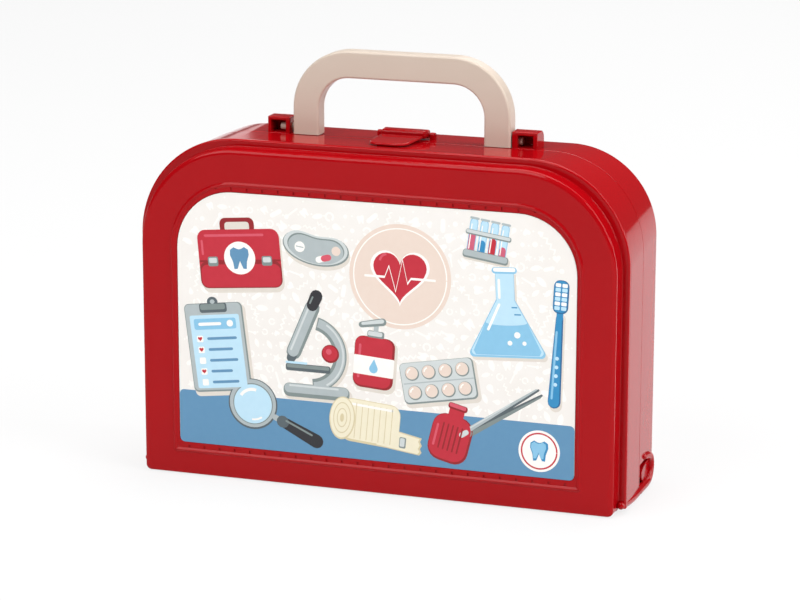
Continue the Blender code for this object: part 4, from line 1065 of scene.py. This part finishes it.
bottle_ribs = [(bar(x, -10, x, 5, 0.9, steps=3), 6, "dark_red")
               for x in (-5.6 + 2.8 * number for number in range(5))]
print_figure("print_water_bottle", 46.6, 40, -14, [
    (round_box(0, -3, 24, 28, 8), 4, "dark_red"), (round_box(-0.4, -2.6, 22.4, 26.4, 7.4), 5, "red"),
    (bar(-8.8, -9, -8.8, 3, 1.3), 6, "light_red"),
    (round_box(0, 12.6, 9, 6, 1.4), 5, "red"), (round_box(0, 16.2, 11.4, 3.6, 1.4), 6, "dark_red"),
    (round_box(-0.2, 16.6, 10, 2.2, 0.9), 7, "light_red")] + bottle_ribs)
print_figure("print_round_seal", 98, 35, 0, [
    (oval(0, 0, 24, 24, 44), 4, "white"), (bow(0, 0, 10.2, 0.9, 0, 359, 44), 5, "red"),
    (placed(tooth, 0, 0, 0, 2.3), 5, "blue"), (placed(tooth, -0.4, 0.3, 0, 1.9), 6, "pool")])


# Floor, light and camera. A plain white table of frosted glass over a white board, under large soft lamps,
# seen as in the photograph. The glass lets the lid be seen where it swings down past the table's top.

GLASS_CLEAR = 0.80
BOARD_Z = -0.16

bpy.ops.object.select_all(action="DESELECT")
glass, glass_tree, glass_shader, _ = start_material("frosted_table_white", 0xDEDEDE, 0.9, 1.5, 0.0)
board, board_tree, _, _ = start_material("white_board", 0xFFFFFF, 0.9, 1.5, 0.0)


def add_seen(tree):
    """One for camera, glossy and transmission rays, and nought for the rays that carry light."""
    paths = add_node(tree, "ShaderNodeLightPath")
    seen = add_node(tree, "ShaderNodeMath", {"operation": "ADD"})
    tree.links.new(paths.outputs["Is Camera Ray"], seen.inputs[0])
    tree.links.new(paths.outputs["Is Glossy Ray"], seen.inputs[1])
    seen_or_through = add_node(tree, "ShaderNodeMath", {"operation": "ADD"})
    tree.links.new(seen.outputs[0], seen_or_through.inputs[0])
    tree.links.new(paths.outputs["Is Transmission Ray"], seen_or_through.inputs[1])
    return paths, seen_or_through.outputs[0]


paths, seen = add_seen(glass_tree)
clear = add_node(glass_tree, "ShaderNodeMath", {"operation": "MULTIPLY_ADD"})
glass_tree.links.new(seen, clear.inputs[0])
clear.inputs[1].default_value = GLASS_CLEAR
glass_tree.links.new(paths.outputs["Is Shadow Ray"], clear.inputs[2])
through = add_node(glass_tree, "ShaderNodeBsdfTransparent")
glass_mix = add_node(glass_tree, "ShaderNodeMixShader")
glass_tree.links.new(clear.outputs[0], glass_mix.inputs[0])
glass_tree.links.new(glass_shader.outputs[0], glass_mix.inputs[1])
glass_tree.links.new(through.outputs[0], glass_mix.inputs[2])
glass_tree.links.new(glass_mix.outputs[0], glass_tree.nodes["Material Output"].inputs["Surface"])
_, seen = add_seen(board_tree)
board_light = add_node(board_tree, "ShaderNodeEmission", {}, {"Strength": seen})
board_tree.links.new(board_light.outputs[0], board_tree.nodes["Material Output"].inputs["Surface"])
for name, radius, height, material in (("floor", 9.0, -0.00002, glass),
                                       ("floor_board", 18.0, BOARD_Z, board)):
    bpy.ops.mesh.primitive_circle_add(vertices=96, radius=radius, fill_type="NGON", location=(0, 0, height))
    ground_piece = bpy.context.object
    ground_piece.name = name
    ground_piece.data.materials.append(material)


def add_lamp(name, place, aim, width, height, power):
    """A soft box at a place, turned to what it lights."""
    bpy.ops.object.light_add(type="AREA", location=place)
    lamp = bpy.context.object
    lamp.name = name
    lamp.data.shape = "RECTANGLE"
    lamp.data.size = width
    lamp.data.size_y = height
    lamp.data.energy = power
    lamp.visible_camera = False
    lamp.rotation_mode = "QUATERNION"
    lamp.rotation_quaternion = (Vector(aim) - Vector(place)).to_track_quat("-Z", "Y")
    return lamp


add_lamp("key_soft_box", (-0.9, -1.8, 1.9), (0, 0, 0.1), 2.0, 1.8, 51)
add_lamp("side_soft_box", (2.15, -0.45, 1.4), (0, 0, 0.1), 1.8, 1.6, 50)
add_lamp("back_soft_box", (0.2, 2.4, 1.9), (0, 0.3, 0.0), 2.4, 1.2, 32)
add_lamp("top_soft_box", (0.1, 0.25, 2.3), (0.1, 0.20, 0.0), 1.6, 1.2, 31)
add_lamp("low_back_panel", (-1.68, 2.49, 0.80), (0, 0, 0.1), 1.16, 1.0, 3.0)
card_lamp = add_lamp("near_side_card", (0.25, 0.090, 0.095), (0.0, 0.090, 0.095), 0.148, 0.19, 0.34)
card_lamp.visible_diffuse = False

world = bpy.data.worlds.new("studio")
bpy.context.scene.world = world
world.use_nodes = True
world.node_tree.nodes["Background"].inputs["Color"].default_value = (1, 1, 1, 1)
world.node_tree.nodes["Background"].inputs["Strength"].default_value = 0.10

bpy.ops.object.select_all(action="DESELECT")
bpy.ops.object.camera_add(location=(0.558133, -1.605656, 0.520186))
camera = bpy.context.object
camera.name = "camera"
camera.data.sensor_width = 36.0
camera.data.lens = 137.618
camera.data.clip_start = 0.05
camera.data.clip_end = 50.0
yaw, pitch, roll = 0.333431556, 0.240061362, 0.00168159516
forward = Vector((-math.sin(yaw) * math.cos(pitch), math.cos(yaw) * math.cos(pitch), -math.sin(pitch)))
right = Vector((math.cos(yaw), math.sin(yaw), 0))
up = right.cross(forward)
tilted_right = math.cos(roll) * right + math.sin(roll) * up
tilted_up = -math.sin(roll) * right + math.cos(roll) * up
camera.rotation_euler = Matrix((tilted_right, tilted_up, -forward)).transposed().to_euler()
bpy.context.scene.camera = camera
bpy.context.scene.view_settings.view_transform = "Standard"
